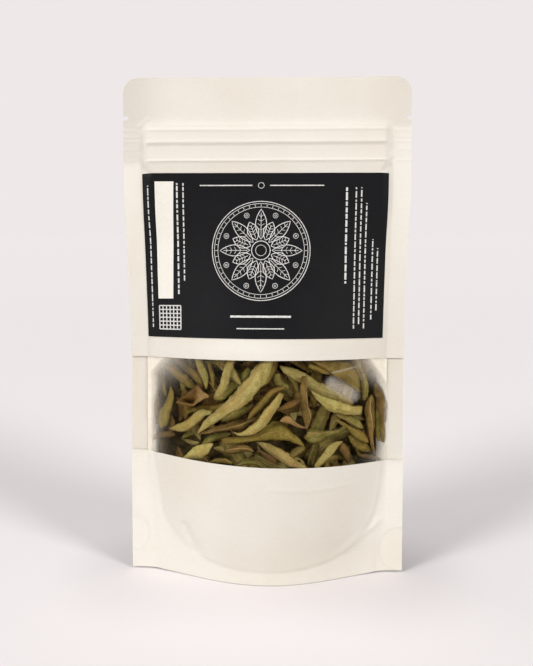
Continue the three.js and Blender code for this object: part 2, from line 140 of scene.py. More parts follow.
# The label: a blank panel, and an ornament of pointed ovals between rings
BLANK = {"left": -50.5, "right_low": -43.2, "right_high": -41.9, "bottom": 125.0, "top": 177.8}
ROSETTE = {"s": -2.2, "t": 146.4, "petals": 16, "inner": 5.0, "outer": 18.6, "half": 2.5}
LINE = 0.34
THIN_LINE = 0.22
RINGS = [(22.2, LINE), (21.2, THIN_LINE), (19.6, THIN_LINE), (4.2, LINE), (2.4, THIN_LINE)]
HATCHES = (0.3, 0.45, 0.6, 0.75)
TICKS = {"count": 48, "inner": 19.9, "outer": 20.9}
# Plain rules where a label has its lines: fixed coordinate, from, to, width
LEVEL_RULES = [(175.9, -30, -6.2, 0.5), (175.9, 1.8, 26, 0.5), (117.2, -16, 11.6, 0.9), (112, -13, 8.6, 0.45)]
# Columns of plain dashes up the label: s, from, to, width, longest dash
DASHED = [(-53.6, 112, 176, 0.55, 3.4), (-40.4, 127, 177, 0.75, 3), (-37.6, 133, 177, 0.6, 2.6),
          (36.2, 132, 175, 0.9, 4.4), (40.4, 112, 175, 0.6, 3.2), (42.8, 114, 175, 0.6, 3.2),
          (45.2, 112, 168, 0.6, 3.2), (48.6, 116, 152, 0.6, 3.2), (51, 120, 148, 0.6, 3.2)]
LATTICE = {"left": -50.2, "bottom": 111.2, "size": 10.6, "cells": 6}

# The leaves that show in the window, the one nearest the film first: how far each is curled, in radians
CURLS = [3.5, 2.6, 1.7, 2.6, 1.9, 2.8, 2.8, 2.7, 2.4, 2.4, 2.2, 3.4, 2, 1.6, 2.4, 2.6, 2.6, 3, 2, 2.2, 2.6,
         2.8, 2, 2, 2.8, 2.8, 2.4, 2.6, 1.2, 2, 2.6, 2.4, 2.4, 2, 2.6, 2.2, 2.4]
# Middle lines of those leaves as the photograph shows them, read off it:
# across and down the photo in its pixels, then half the width that is seen there
LEAF_LINES = {
    1: [(197, 434, 0.6), (206, 425, 3.6), (219, 416, 5.1), (230, 407.5, 6.6), (238, 402, 7.7),
        (250, 389, 9), (258, 379.5, 9), (264, 369.5, 8), (268, 360, 6), (271, 351, 4)],
    2: [(281.5, 393.5, 2.5), (276.5, 403, 4.1), (269, 413, 5.5), (263.5, 421, 5.5), (258, 427, 5.3),
        (251, 431.5, 4.5), (244.5, 434, 2.9), (238.5, 434.6, 1.5), (233, 432, 0.5)],
    3: [(311, 390.5, 0.5), (317, 396.5, 2.5), (324, 401.5, 4.6), (332, 406, 6.5), (342, 409, 6.5),
        (351, 411, 5.2), (358.5, 411.2, 5), (362, 411.2, 4.6)],
    4: [(304.4, 376, 2.2), (304.4, 383, 3.4), (303.3, 390.5, 3.3), (304.4, 398.5, 3.3), (305, 407, 3.4),
        (306.6, 415, 4.5), (307.2, 422.5, 3), (306.6, 429.2, 0.6)],
    5: [(222, 441.5, 2.4), (234, 441.3, 2.8), (247, 440, 2.5), (259, 437.7, 3.9), (269.5, 434.5, 7.5),
        (278, 433.2, 9.4), (285.3, 435.6, 6.7), (292, 439, 4), (298.5, 442.5, 2.8), (304, 446.4, 0.6)],
    6: [(334.5, 419, 1), (341, 423, 1.9), (347.7, 427, 2), (352.6, 431, 3.3), (358.7, 435, 4.7),
        (364, 438.7, 3.4), (368.3, 442.6, 0.8)],
    7: [(256.5, 445, 0.5), (263.3, 449, 3.3), (271, 452.7, 4.8), (278, 456.3, 5.2), (285.2, 460, 5.6),
        (291, 464, 5), (298, 467, 3.5), (307, 469, 2)],
    8: [(169, 428.6, 0.4), (176.7, 428.8, 3.4), (183.8, 427.5, 4.7), (190.4, 424, 4.5),
        (196.5, 418.5, 4.7), (202, 414, 4.3), (207, 413.4, 2.3), (211.5, 413.2, 1.9)],
    9: [(182.5, 459.5, 1), (190, 456.3, 4), (197, 454, 5.8), (203.6, 450.8, 5.5), (208.5, 447, 3.2),
        (213, 443.9, 0.8)],
    10: [(371.8, 395, 1.5), (370.7, 404, 4.4), (370, 411, 5.5), (370.7, 419, 5), (371.3, 427, 4),
        (371.3, 434.5, 2.6), (371.8, 443, 2), (374.6, 454.5, 0.9)],
    11: [(316, 468, 2.5), (322.5, 460.7, 3.5), (328, 454.6, 4.4), (333, 448.6, 4.5), (337.3, 444.8, 2.8),
        (342.8, 441.7, 0.7)],
    12: [(280, 366, 0.8), (285.2, 370, 3.5), (293.5, 374, 4.9), (303, 379.4, 5.2), (309.3, 383.3, 4.9),
        (317.5, 389.3, 5.7), (327, 393.7, 6.1), (335.6, 397.5, 5.1), (343.3, 400.6, 4.2),
        (352.5, 404.6, 2.2)],
    13: [(287, 387.7, 1.2), (281, 389.3, 2.5), (274, 392, 3.5), (268.8, 397.5, 4.5), (263.8, 403, 4.5),
        (257.8, 409.6, 4), (252.3, 414.6, 3), (248, 419.5, 1)],
    15: [(198, 434, 0.5), (209, 432, 2), (217.3, 429.4, 3), (225.5, 428, 3.5), (230.4, 426.7, 3.8),
        (237, 425.8, 5.2), (243, 424, 5), (249, 421.2, 3), (254.5, 419, 1.5), (257, 416.8, 0.6)],
    16: [(197, 354, 4.5), (198.2, 361.3, 4.6), (201, 368.5, 4.3), (203.6, 375.6, 4), (205.2, 382.7, 3),
        (205.5, 390, 0.8)],
    17: [(158, 359, 1.2), (164, 364.6, 3.2), (171.8, 370, 4.5), (177.8, 375.6, 4.7), (183.8, 380.5, 4.8),
        (189.3, 385.5, 4), (195, 389, 1.2)],
    18: [(214, 397.7, 0.7), (219, 392.5, 4), (222.8, 386.6, 4.4), (225, 379.4, 4.3), (227.2, 371.7, 4),
        (230, 364, 4.4), (232, 354, 4.4)],
    19: [(170.7, 386.5, 0.8), (170.9, 394, 3), (169.4, 401.5, 4), (166.6, 409.6, 5.2), (163.8, 415, 6.8),
        (162.4, 420.6, 6.8), (161.4, 425, 4.8), (160.6, 428.4, 1.6)],
    20: [(151.5, 438.6, 1.2), (156, 437.6, 2.8), (162.5, 437.4, 3.4), (168.6, 437.6, 3),
        (173.6, 437.4, 1)],
    21: [(202.5, 445, 1.5), (208, 441, 3.3), (214, 438.2, 3.4), (219.5, 436, 3), (225.5, 434.9, 2.5),
        (231, 433.8, 1)],
    22: [(336, 413, 1.5), (340, 415, 3.2), (346.6, 418, 3.6), (352, 421.2, 4.3), (357.6, 425, 3.8),
        (363, 428.6, 1.2)],
    23: [(306, 435, 4.4), (313, 438.5, 7), (319.2, 438, 6.2), (324.7, 435.4, 3.4), (332, 433.5, 2.3),
        (339, 432, 2), (344.4, 428.8, 1.6), (347.6, 426, 0.5)],
    24: [(280, 421.7, 0.8), (286.3, 420.6, 3.6), (292, 423, 2.7), (298.4, 426.7, 1.6), (304.4, 428.6, 1),
        (307.5, 429.2, 0.4)],
    25: [(172, 355, 3.5), (175.6, 360.8, 4.3), (181.7, 366.8, 4.8), (187.7, 372.3, 4.8),
        (193.2, 377.2, 4.5), (197.6, 381.6, 3.5), (201.5, 385, 0.8)],
    26: [(207, 354, 3.5), (208, 361, 3.6), (209.2, 368.5, 3), (211.3, 375.6, 3.2), (212.6, 381.6, 2.2),
        (212.8, 388, 0.7)],
    27: [(179, 443.5, 0.6), (184.4, 440, 3.1), (190, 437.9, 4.1), (195.4, 438.3, 4.5), (199.8, 440, 2.5),
        (202, 441, 0.7)],
    28: [(236, 465.5, 0.8), (242.5, 462.3, 2.6), (248, 461.5, 3), (254.5, 461.8, 3.1), (260, 464.5, 2.6),
        (266, 468, 1.8)],
    29: [(311, 360, 2), (319, 361.5, 4), (328, 365, 6), (336.7, 368.5, 8), (345.5, 372.5, 10),
        (352, 379, 8), (356.5, 386, 5), (359, 392.3, 0.8)],
    30: [(342.8, 443.5, 1.6), (344, 449.7, 5), (346.6, 455.7, 4.2), (349, 463, 2)],
    31: [(290.5, 456.5, 2.5), (295.7, 452.4, 3.5), (300, 449.7, 3.1), (304.5, 447.3, 1.8)],
    32: [(317, 447, 3.2), (314.2, 454.6, 4.2), (312, 460.7, 3.7), (310.5, 468, 3)],
    33: [(213.5, 399.3, 1.5), (222.8, 397.3, 3), (227.6, 392, 3.6), (233, 387, 3.7), (239, 382, 4),
        (245, 376, 4), (250, 369, 3)],
    34: [(277, 410.6, 1.2), (286.3, 407.4, 3), (294.6, 404, 3.6), (302, 400.6, 2.5)],
    35: [(184, 414.4, 0.6), (190, 411.3, 1.9), (198, 409.3, 2.6), (205.2, 409.4, 3.2), (212, 408.8, 3.6),
        (219, 407.2, 3), (226, 404, 1.6)],
    36: [(221, 420, 3), (227, 418.4, 4.6), (234.2, 415.7, 5), (241.4, 412.2, 4), (248, 409, 2.6),
        (252.5, 404.5, 0.8)],
    37: [(226, 452.5, 2), (234, 451.3, 3.6), (241.4, 450.2, 3.7), (248, 449.7, 2.7), (253.6, 452, 0.7)],
}
# More leaves in the photograph's gaps: the kind of each, and its line
MORE_LINES = [
    ("green", [(331, 401, 5), (329, 407, 6.6), (325.5, 415, 7), (322, 424, 7.8), (318, 434, 8),
        (315, 441, 5)]),
    ("brown", [(243, 411.8, 0.5), (250, 407, 0.7), (256.7, 398.8, 0.7), (261, 395.2, 0.7),
        (266.5, 394.2, 0.5)]),
    ("brown", [(374.8, 384, 1.2), (378.4, 392.6, 4.4), (381, 401.5, 4.7), (382, 410.7, 4.4),
        (384, 418, 1.8), (384.6, 421, 0.5)]),
    ("green", [(377.5, 396, 1), (377.3, 409.6, 2.4), (377, 422, 2.6), (377.6, 434, 2.4),
        (379, 441.5, 0.8)]),
    ("olive", [(381, 412, 2), (381.4, 424.5, 3), (382.4, 433, 2.6), (382.6, 441.5, 1.2)]),
    ("brown", [(175.5, 400, 1), (177, 407, 2.4), (178.4, 415, 3.5), (178.4, 420.4, 3), (177, 425, 1)]),
    ("light", [(177, 444.6, 0.6), (184.9, 448, 2.1), (190.4, 449.4, 2.3), (197, 448.2, 0.8)]),
    ("rust", [(256.5, 445, 0.6), (258.4, 453.5, 1.3), (263.3, 458.5, 2.3), (270, 462, 3.2),
        (276, 466.5, 2.2)]),
    ("brown", [(358, 455, 0.8), (366.3, 457.4, 2.6), (373.5, 458.6, 2), (380, 459, 0.6)]),
    ("olive", [(350, 436, 2), (356, 443, 4.5), (364, 449, 5), (372, 452, 2)]),
    ("green", [(246, 366, 2.5), (252, 361.5, 3.4), (258, 359, 2)]),
    ("green", [(276, 375, 3), (277, 383, 4.4), (281, 389, 4.6), (288, 391.5, 3)]),
    ("olive", [(309, 365, 3), (317, 368.5, 3.4), (325, 372, 3), (331, 374, 1)]),
    ("brown", [(283, 413, 1), (291, 411.5, 3), (299, 410.5, 3)]),
    ("green", [(360, 367, 2), (363.5, 378, 3.4), (365.5, 390, 3.6), (366, 402, 3)]),
    ("rust", [(309.5, 409.5, 1.6), (315, 409, 2.2), (321, 410.5, 1.4)]),
    ("rust", [(212, 448.5, 0.8), (217, 446.5, 2), (222.5, 443, 2)]),
    ("brown", [(164, 452, 1), (170, 449, 3), (176, 447, 3), (181, 449.5, 1.5)]),
    ("brown", [(168, 446, 0.8), (172.5, 439, 1.1), (177, 433, 0.8)]),
    ("olive", [(163, 366, 0.8), (162, 378, 2), (163, 390, 2.4), (166, 397, 1)]),
    ("olive", [(209, 463, 1.2), (217, 461.5, 2.6), (225, 461.5, 2.6), (232, 464, 1.4)]),
    ("olive", [(322, 466, 1), (330, 462.5, 2.4), (338, 461, 2.6), (346, 462.5, 1.4)]),
    ("brown", [(160, 443, 1), (164, 448, 3), (170, 453, 3.4), (178, 457, 1.6)]),
    ("green", [(288, 371, 2), (291, 379, 3.4), (296, 386, 3.2), (298, 394, 1.6)]),
    ("olive", [(158, 396, 1), (156.6, 406, 2.6), (157, 416, 2.4), (156, 425, 0.8)]),
    ("olive", [(290, 362, 1.5), (298, 366, 3.2), (306, 370, 3.2), (313, 374, 1.4)]),
]
# The leaf that is curled into an open cup: its two edges and the fold between them, in photo pixels, then how
# far each point lies behind the nearest one, in mm
CUP_LEAF = 14
CUP = {
    "low": [(175.6, 402.6, 0.6), (180, 404.4, 0.3), (186.5, 405.4, 0), (193, 406.3, 0.2), (198, 402.8, 0.6),
            (203, 399.8, 1), (208.6, 397.4, 1.6)],
    "fold": [(175.8, 402.2, 0.8), (182.5, 400.5, 6), (188, 402, 9), (193, 402.6, 9.5), (196.5, 400.5, 7),
             (202, 398, 3.5), (209, 396.4, 1.7)],
    "high": [(176, 401.8, 0.9), (181, 397, 1), (186.5, 392.8, 1), (192, 388.4, 1.2), (197.2, 385, 1.8),
             (203, 391, 2), (208.8, 395.2, 1.8)],
}
# How the leaves are rolled, folded, leaning to one edge, and where the midrib shows (None where it doesn't)
HABITS = {
    1: (0.1, 0, 0, 0.42), 2: (0.3, 0, 0, None), 3: (-0.15, 0.15, 0, None), 4: (0.3, 0.35, 0, 0.3),
    5: (0.35, 0.3, -0.2, None), 8: (0.15, 0, 0, None), 10: (0.1, 0.3, 0, 0.15), 12: (0, 0.1, 0, None),
    23: (0.5, 0.5, 0, 0.1), 24: (0.6, 0.6, 0, 0), 29: (0, 0, 0, None), 30: (-0.4, 0.2, 0, None),
}
LIGHT_ONES = {3: 1, 5: 1, 8: 0.9, 9: 1, 14: 1, 29: 0.2}  # how light these leaves are among their kind
WIDEST_CURL = 2.9
MORE_DEPTH = 1.8
BACK_ROOM = 0.3
BEHIND = {"leaves": 9, "seed": 5, "half": 36, "low": 50, "high": 96}
BEHIND_RANGES = [(18, 30), (7, 11), (-90, 90), (1.8, 3), (-0.05, 0.05)]  # length, width, angle, curl, bow
LEAF_THICK = 0.28
LEAF_GAP = 0.25  # room that is left between a leaf and what lies in front of it
LEAF_TILT = 0.3  # steepest run of a leaf away from the film, in mm for each mm
LEAF_TWIST = 0.35
TIP_WIDTH = 0.04
LEAST_HALF = 0.15
FOLD_WIDTH = 0.12  # share of the half width over which a fold at the midrib turns
HIDDEN_RIB = 0.15  # where a leaf shows no midrib, its surface starts this share away from one
WAVES = [(0.3, 4.5, 3), (0.14, 1.6, 1.2)]  # a blade's unevenness: height, then reach along and across, in mm
PILE_CELL = 0.7
HEAP = {"leaves": 380, "seed": 17, "half": 56, "low": 28, "high": 108, "back": 1.6, "margin": 2.5,
        "first": 1.5, "fill": 0.85, "length": (15, 32), "width": (5, 10), "steep": (36, 54), "size": (20, 10)}
HEAP_KINDS = ["leaf_green", "leaf_olive", "leaf_olive", "leaf_brown", "leaf_brown", "leaf_light"]
CORE = {"half": 50, "low": 32, "high": 104, "front": (-0.78, 0.08), "back": -0.85}

# Colours, as screen values from 0 to 255
# The paper's open and sealed colours are the painted shade and painted light that its lightness mixes
# between; tint and fleck are its own colour
PAPER = {"open": (206, 200, 189), "sealed": (231, 227, 218), "tint": (251, 248, 243), "fleck": (150, 128, 98)}
MILK_AND_GLARE = ((222, 209, 188), (236, 227, 211))
STRIP = ((226, 224, 219), (236, 234, 229))
BLACK = ((17, 17, 19), (25, 25, 27))
WHITE_INK = ((188, 187, 182), (222, 221, 216))
PANEL_INK = ((226, 221, 210), (232, 227, 217))
# The heap's core, painted dark as the shade deep in the heap
CORE_SHADE = ((44, 36, 19), (82, 68, 36))
# Blade, mottling, speckle and edge colours of each kind of leaf; the mottling colour also paints shade
# towards the edges, and the edge colour paints shade beside the midrib
LEAF_COLOURS = {
    "leaf_light": ((182, 168, 102), (144, 128, 64), (206, 192, 132), (96, 70, 34)),
    "leaf_green": ((154, 143, 74), (111, 100, 43), (178, 166, 102), (82, 64, 30)),
    "leaf_olive": ((142, 121, 55), (99, 82, 32), (164, 144, 78), (80, 58, 26)),
    "leaf_brown": ((126, 100, 52), (85, 64, 29), (152, 126, 74), (66, 44, 22)),
    "leaf_rust": ((180, 142, 90), (120, 90, 50), (202, 168, 116), (80, 52, 28)),
}
TAN = (164, 124, 64)
RIB_COLOUR = (186, 152, 94)

# Floor, light and camera
FLOOR_COLOUR = (242, 236, 236)
BACKGROUND = (238, 232, 232)
FLOOR_RADIUS = 6.0
# Where a shadow is painted on the floor beside the foot, and where the floor goes over into the background,
# in metres
FOOT_SHADOW = {"half": 0.045, "back": 0.004, "near": 0.012, "far": 0.06, "shadowed": 0.86}
FADE = {"from": (0.4, 1.5), "glow": 0.97}
SUNS = [  # name, degrees to the right of the front, degrees up, strength, angle across in degrees
    ("key", -50, 30, 1.54, 20),
    ("fill", 53, 27, 1.58, 19),
    ("side", -84, 38, 0.74, 60),
    ("top", -20, 74, 0.34, 60),
]
ROOM_LIGHT = (0.275, 0.273, 0.273, 1.0)
CAMERA = {"distance": 350.0, "height": 163.23, "yaw": 2.158, "down": 1.891, "focal": 772.19, "middle": 240.0}
PHOTO_HEIGHT = 666
PHOTO_WIDTH = 533
SENSOR = 36.0
CLIP = (0.01, 50.0)  # nearest and furthest that the camera sees, in metres


def srgb(colour):
    """A colour given as screen values from 0 to 255, as Blender wants it."""
    return (*((c / 255 / 12.92) if c < 11 else ((c / 255 + 0.055) / 1.055) ** 2.4 for c in colour), 1.0)


def uneven(*place):
    """Smooth noise between about -1 and 1."""
    return noise.noise(Vector(place))


def lerp(a, b, k):
    return a + (b - a) * k


def clamp(x, low=0.0, high=1.0):
    return min(max(x, low), high)


def smoothstep(x, low, high):
    k = clamp((x - low) / (high - low))
    return k * k * (3 - 2 * k)


def hump(distance, half_width):
    return math.exp(-((distance / half_width) ** 2))


def along(profile, x):
    """A smooth curve through the points of a profile, read at x."""
    i = 1
    while i < len(profile) - 1 and x > profile[i][0]:
        i += 1
    (x0, y0), (x1, y1) = profile[i - 1], profile[i]
    before, after = profile[max(i - 2, 0)], profile[min(i + 1, len(profile) - 1)]
    span = x1 - x0
    m0 = (y1 - before[1]) / (x1 - before[0]) * span
    m1 = (after[1] - y0) / (after[0] - x0) * span
    k = clamp((x - x0) / span)
    return (y0 * (2 * k**3 - 3 * k**2 + 1) + m0 * (k**3 - 2 * k**2 + k)
            + y1 * (3 * k**2 - 2 * k**3) + m1 * (k**3 - k**2))


def bulge(s, t):
    """How far the panel stands out at a flat place, from 0 at the seals to 1 in the middle."""
    u = min(abs(s) / HALF_OPEN, 1)
    rounded = (1 - u * u) ** along(ROUNDNESS, t)
    flat = 1 - smoothstep(abs(s), HALF_OPEN - SHOULDER, HALF_OPEN)
    return lerp(rounded, flat, clamp(along(FLAT_FRONT, t)))


def height_of(s, t):
    lift = smoothstep(abs(s) / HALF, LIFT_FROM, 1) * SIDE_LIFT
    return t + lift * (1 - smoothstep(t, 0, LIFT_TO)) + along(MIDDLE_RISE, t) * bulge(s, t)


def depth_of(s, t):
    return SEAM + along(BELLY, t) * bulge(s, t)


def pressed(s, t):
    """The sealed margins are pressed thinner than the solids are."""
    return lerp(PRESSED, 1, clamp(along(BELLY, t) * bulge(s, t) / PRESSED_UNTIL))


def on_panel(s, t, side, outwards):
    """A point on the front (side -1) or back (side 1) panel, moved outwards by a distance."""
    scale = along(HALF_WIDTH, t) / HALF
    slope = (depth_of(s + SLOPE_STEP, t) - depth_of(s - SLOPE_STEP, t)) / (2 * SLOPE_STEP * scale)
    length = math.hypot(slope, 1)
    y = depth_of(s, t) + outwards / length
    return Vector((s * scale - slope / length * outwards, side * y * pressed(s, t), height_of(s, t)))


def to_segment(s, t, s0, t0, s1, t1):
    """Distance from a flat point to a line between two others."""
    ds, dt = s1 - s0, t1 - t0
    k = clamp(((s - s0) * ds + (t - t0) * dt) / (ds * ds + dt * dt))
    return math.hypot(s - s0 - k * ds, t - t0 - k * dt)


def above_u_seal(s, t):
    """Signed distance from the base's seal, positive above it."""
    rise = (along(U_SEAL, s + 0.5) - along(U_SEAL, s - 0.5))
    return (t - along(U_SEAL, s)) / math.hypot(rise, 1)


def sealed(s, t):
    """1 where the layers are sealed together and 0 where the pouch is open."""
    sides = smoothstep(abs(s), HALF_OPEN - 0.8, HALF_OPEN + 0.8) * (1 - smoothstep(t, TOP_SEAL, TOP_SEAL + 4))
    base = 1 - smoothstep(above_u_seal(s, t), -1, 1) if t < U_SEAL[0][1] else 0
    top = smoothstep(t, TOP_SEAL, TOP_SEAL + 4)
    return max(sides, base, top)


def painted_lightness(s, t):
    """How light the paper looks, as painted light and shade: lightest where it is sealed or drawn over the
    strip.
    """
    end = 0 if s < 0 else 1
    aside = abs(s)
    top = smoothstep(t, TOP_SEAL, TOP_SEAL + 2)
    # Painted light over the strip; painted shade where its ends are crushed into creases near the seals
    over_strip = smoothstep(t, STRIP_LOW, STRIP_LOW + 4) * (1 - top) * (1 - smoothstep(aside, 55, 58))
    crushed = smoothstep(t, STRIP_LOW, STRIP_LOW + 5) * smoothstep(aside, 53, 59) * (1 - top)
    # Painted shade beside the seals, from the window's foot up past the label
    by_seal = smoothstep(aside, HALF_OPEN - 2, HALF_OPEN)
    beside = smoothstep(t, 48, 58) * (1 - smoothstep(t, 110, 180)) * by_seal
    # Painted shade on the open paper, painted light where it is sealed
    share = max(sealed(s, t), PAINTED_LIGHTNESS["strip"] * over_strip) - PAINTED_LIGHTNESS["beside"] * beside
    # Soft patches of painted highlight and painted shade
    for s0, t0, wide, tall, change in LIGHT_AND_SHADE_PATCHES:
        share += change * hump(s - s0, wide) * hump(t - t0, tall)
    # Painted shade round each tack's embossed ring
    for s0, t0, radius in TACKS:
        share -= PAINTED_LIGHTNESS["tacks"] * hump(math.hypot(s - s0, t - t0) - radius, 0.6)
    light = lerp(lerp(PAINTED_LIGHTNESS["open"], 1, share), PAINTED_LIGHTNESS["crushed"][end], crushed)
    # Painted shade on the top band, darker still towards its ends
    top_light = lerp(PAINTED_LIGHTNESS["top"], PAINTED_LIGHTNESS["top_ends"][end], smoothstep(aside, 40, HALF))
    return clamp(lerp(light, top_light, top))


def relief(s, t, side):
    """Height of the strip, seals, creases and unevenness over the smooth panel."""
    wave = 0.35 * uneven(s / 24, 3.1 * side, 7) - 0.004 * s
    ends = 1 - smoothstep(abs(s), *ZIP_ENDS)
    height = along(ZIP_PROFILE, t + wave) * ends if ZIP_PROFILE[0][0] < t < ZIP_PROFILE[-1][0] else 0
    margin = smoothstep(abs(s), HALF_OPEN - 0.5, HALF_OPEN + 0.7)
    if margin > 0:
        for line, tall in CRUSH_LINES:
            height += tall * hump(t - line, CRUSH_HALF) * margin
        for line in SEAL_MARKS[1 if s > 0 else -1]:
            height += SEAL_MARK["height"] * hump(t - line, SEAL_MARK["half"]) * margin
    if t < U_SEAL[0][1]:
        above = above_u_seal(s, t)
        height -= U_STEP * (1 - smoothstep(above, -0.9, 0.7))
        height += 0.16 * hump(above - 1.6, 1.3) * smoothstep(abs(s), 10, 44)
    for s0, t0, radius in TACKS:
        away = math.hypot(s - s0, t - t0)
        height += 0.26 * hump(away - radius, 0.5) - 0.14 * (1 - smoothstep(away, radius - 1, radius))
    for s0, t0, s1, t1, half, tall in CREASES if side < 0 else BACK_CREASES:
        away = to_segment(s, t, s0, t0, s1, t1)
        if away < 3 * half:
            height += tall * hump(away, half)
    open_share = 1 - sealed(s, t)
    for wide, tall, least, more, seed in PAPER_WAVES:
        height += (least + more * open_share) * uneven(s / wide, t / tall, seed * side)
    return height


def spaced(*stops):
    """Values from the first stop to the last; each stop is a value and the spacing that follows it."""
    values = []
    for (low, step), (high, _) in zip(stops, stops[1:]):
        count = max(1, round((high - low) / step))
        values += [low + (high - low) * i / count for i in range(count)]
    return values + [stops[-1][0]]


def evenly(low, high, count):
    return [low + (high - low) * i / count for i in range(count + 1)]


def mirrored(values):
    return sorted({-v for v in values} | set(values))


def within(lines, low, high):
    return [low] + [v for v in lines if low + 0.1 < v < high - 0.1] + [high]


def no_amount(u, v):
    return 0.0


def same_place(u, v):
    return u, v


class Shape:
    """Points, faces and values for the material, gathered until they become one mesh."""

    def __init__(self):
        self.points = []
        self.faces = []
        self.places = []  # along and across a leaf, or the flat place on the pouch
        self.amounts = []  # one value for the material at each point

    def add(self, point, place, amount=0.0):
        self.points.append(point)
        self.places.append(place)
        self.amounts.append(amount)

    def grid(self, us, vs, point, place=same_place, amount=no_amount):
        """A closed sheet: both faces of a grid and the walls that join their rims."""
        start, rows, columns = len(self.points), len(vs), len(us)
        for face in (0, 1):
            for u in us:
                for v in vs:
                    self.add(point(u, v, face), place(u, v), amount(u, v))

        def at(face, i, j):
            return start + (face * columns + i) * rows + j

        for i in range(columns - 1):
            for j in range(rows - 1):
                around = ((i, j), (i + 1, j), (i + 1, j + 1), (i, j + 1))
                self.faces.append([at(0, *corner) for corner in around])
                self.faces.append([at(1, *corner) for corner in (around[0], *around[:0:-1])])
        rim = [(i, 0) for i in range(columns)] + [(columns - 1, j) for j in range(1, rows)]
        rim += [(i, rows - 1) for i in range(columns - 2, -1, -1)] + [(0, j) for j in range(rows - 2, 0, -1)]
        for a, b in zip(rim, rim[1:] + rim[:1]):
            self.faces.append((at(0, *a), at(1, *a), at(1, *b), at(0, *b)))

    def stroke(self, path, width, closed=False):
        """A thin printed line that follows a path of flat points on the front."""
        count = len(path)
        start = len(self.points)
        for i, (s, t) in enumerate(path):
            before = path[i - 1] if closed or i else path[i]
            after = path[(i + 1) % count] if closed or i < count - 1 else path[i]
            ds, dt = after[0] - before[0], after[1] - before[1]
            length = math.hypot(ds, dt) or 1
            ns, nt = -dt / length * width / 2, ds / length * width / 2
            for outwards in PRINT_FACES:
                for sign in (1, -1):
                    flat = (s + sign * ns, t + sign * nt)
                    self.add(printed(*flat, outwards), flat)
        for i in range(count if closed else count - 1):
            a, b = start + 4 * i, start + 4 * ((i + 1) % count)
            for p, q in ((0, 1), (1, 3), (3, 2), (2, 0)):
                self.faces.append((a + p, a + q, b + q, b + p))
        if not closed:
            end = start + 4 * (count - 1)
            self.faces += [(start, start + 2, start + 3, start + 1), (end, end + 1, end + 3, end + 2)]

    def piece(self, name, look, slot, replaced=(), sharp=40):
        mesh = bpy.data.meshes.new(name)
        mesh.from_pydata([tuple(p * MM) for p in self.points], [], self.faces)
        mesh.update()
        corners = [c for loop in mesh.loops for c in self.places[loop.vertex_index]]
        mesh.uv_layers.new(name="flat").data.foreach_set("uv", corners)
        mesh.attributes.new("amount", "FLOAT", "POINT").data.foreach_set("value", self.amounts)
        mesh.polygons.foreach_set("use_smooth", [True] * len(mesh.polygons))
        mesh.set_sharp_from_angle(angle=math.radians(sharp))
        mesh.materials.append(look)
        face_outwards(mesh)
        made = placed(name, mesh)
        if replaced:
            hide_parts(*replaced)
        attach(made, "root")


def placed(name, data):
    """A new object in the scene."""
    made = bpy.data.objects.new(name, data)
    bpy.context.scene.collection.objects.link(made)
    return made


def face_outwards(mesh):
    """Turns every face round if the closed shape is inside out."""
    mesh.calc_loop_triangles()
    volume = 0.0
    for triangle in mesh.loop_triangles:
        a, b, c = (mesh.vertices[i].co for i in triangle.vertices)
        volume += a.dot(b.cross(c))
    if volume < 0:
        mesh.flip_normals()


def build(name, look, slot, us, vs, point, replaced=(), amount=no_amount):
    """A piece that is one closed sheet."""
    shape = Shape()
    shape.grid(us, vs, point, amount=amount)
    shape.piece(name, look, slot, replaced)


class Nodes:
    """The shader nodes of a material or the world. An input is a socket to link or a plain value."""

    def __init__(self, owner, shader):
        owner.use_nodes = True
        self.owner = owner
        self.tree = owner.node_tree
        self.shader = self.tree.nodes[shader]
        self.relief = {}

    def fill(self, node, inputs):
        for key, value in inputs.items():
            if isinstance(value, bpy.types.NodeSocket):
                self.tree.links.new(value, node.inputs[key])
            else:
                node.inputs[key].default_value = value

    def put(self, **sockets):
        """Sets the shader's own sockets, or links them."""
        self.fill(self.shader, {key.replace("_", " "): value for key, value in sockets.items()})

    def add(self, kind, inputs=(), **settings):
        """The outputs of a new node."""
        node = self.tree.nodes.new("ShaderNode" + kind)
        for key, value in settings.items():
            setattr(node, key, value)
        self.fill(node, dict(inputs))
        return node.outputs

    def amount(self):
        return self.add("Attribute", attribute_name="amount")["Fac"]

    def maths(self, operation, a, b=0.0, clamped=False):
        return self.add("Math", {0: a, 1: b}, operation=operation, use_clamp=clamped)[0]

    def ranged(self, value, low, high, to_low=0.0, to_high=1.0, kind="LINEAR"):
        inputs = {"Value": value, "From Min": low, "From Max": high, "To Min": to_low, "To Max": to_high}
        return self.add("MapRange", inputs, interpolation_type=kind)["Result"]

    def mixed(self, share, a, b, blend="MIX"):
        return self.add("Mix", {0: share, 6: a, 7: b}, data_type="RGBA", blend_type=blend)[2]

    def coloured(self, share, colours):
        """From the first of two screen colours to the second."""
        return self.mixed(share, *map(srgb, colours))

    def toned(self, colour, value, hue=0.5):
        return self.add("HueSaturation", {"Color": colour, "Value": value, "Hue": hue})["Color"]

    def noisy(self, scale, detail=3.0, rough=0.55, distortion=0.0, place=None):
        inputs = {"Vector": place or self.place, "Scale": scale, "Detail": detail, "Roughness": rough}
        return self.add("TexNoise", {**inputs, "Distortion": distortion})["Fac"]

    def bump(self, height, distance, strength):
        """Adds relief on top of what the surface already has."""
        inputs = {"Height": height, "Distance": distance, "Strength": strength, **self.relief}
        self.relief = {"Normal": self.add("Bump", inputs)["Normal"]}
        self.put(**self.relief)


def new_look(name, **sockets):
    """The nodes of a new material, with plain values set on its shader's own sockets."""
    look = Nodes(bpy.data.materials.new(name), "Principled BSDF")
    look.place = look.add("TexCoord")["Object"]
    look.put(**sockets)
    return look


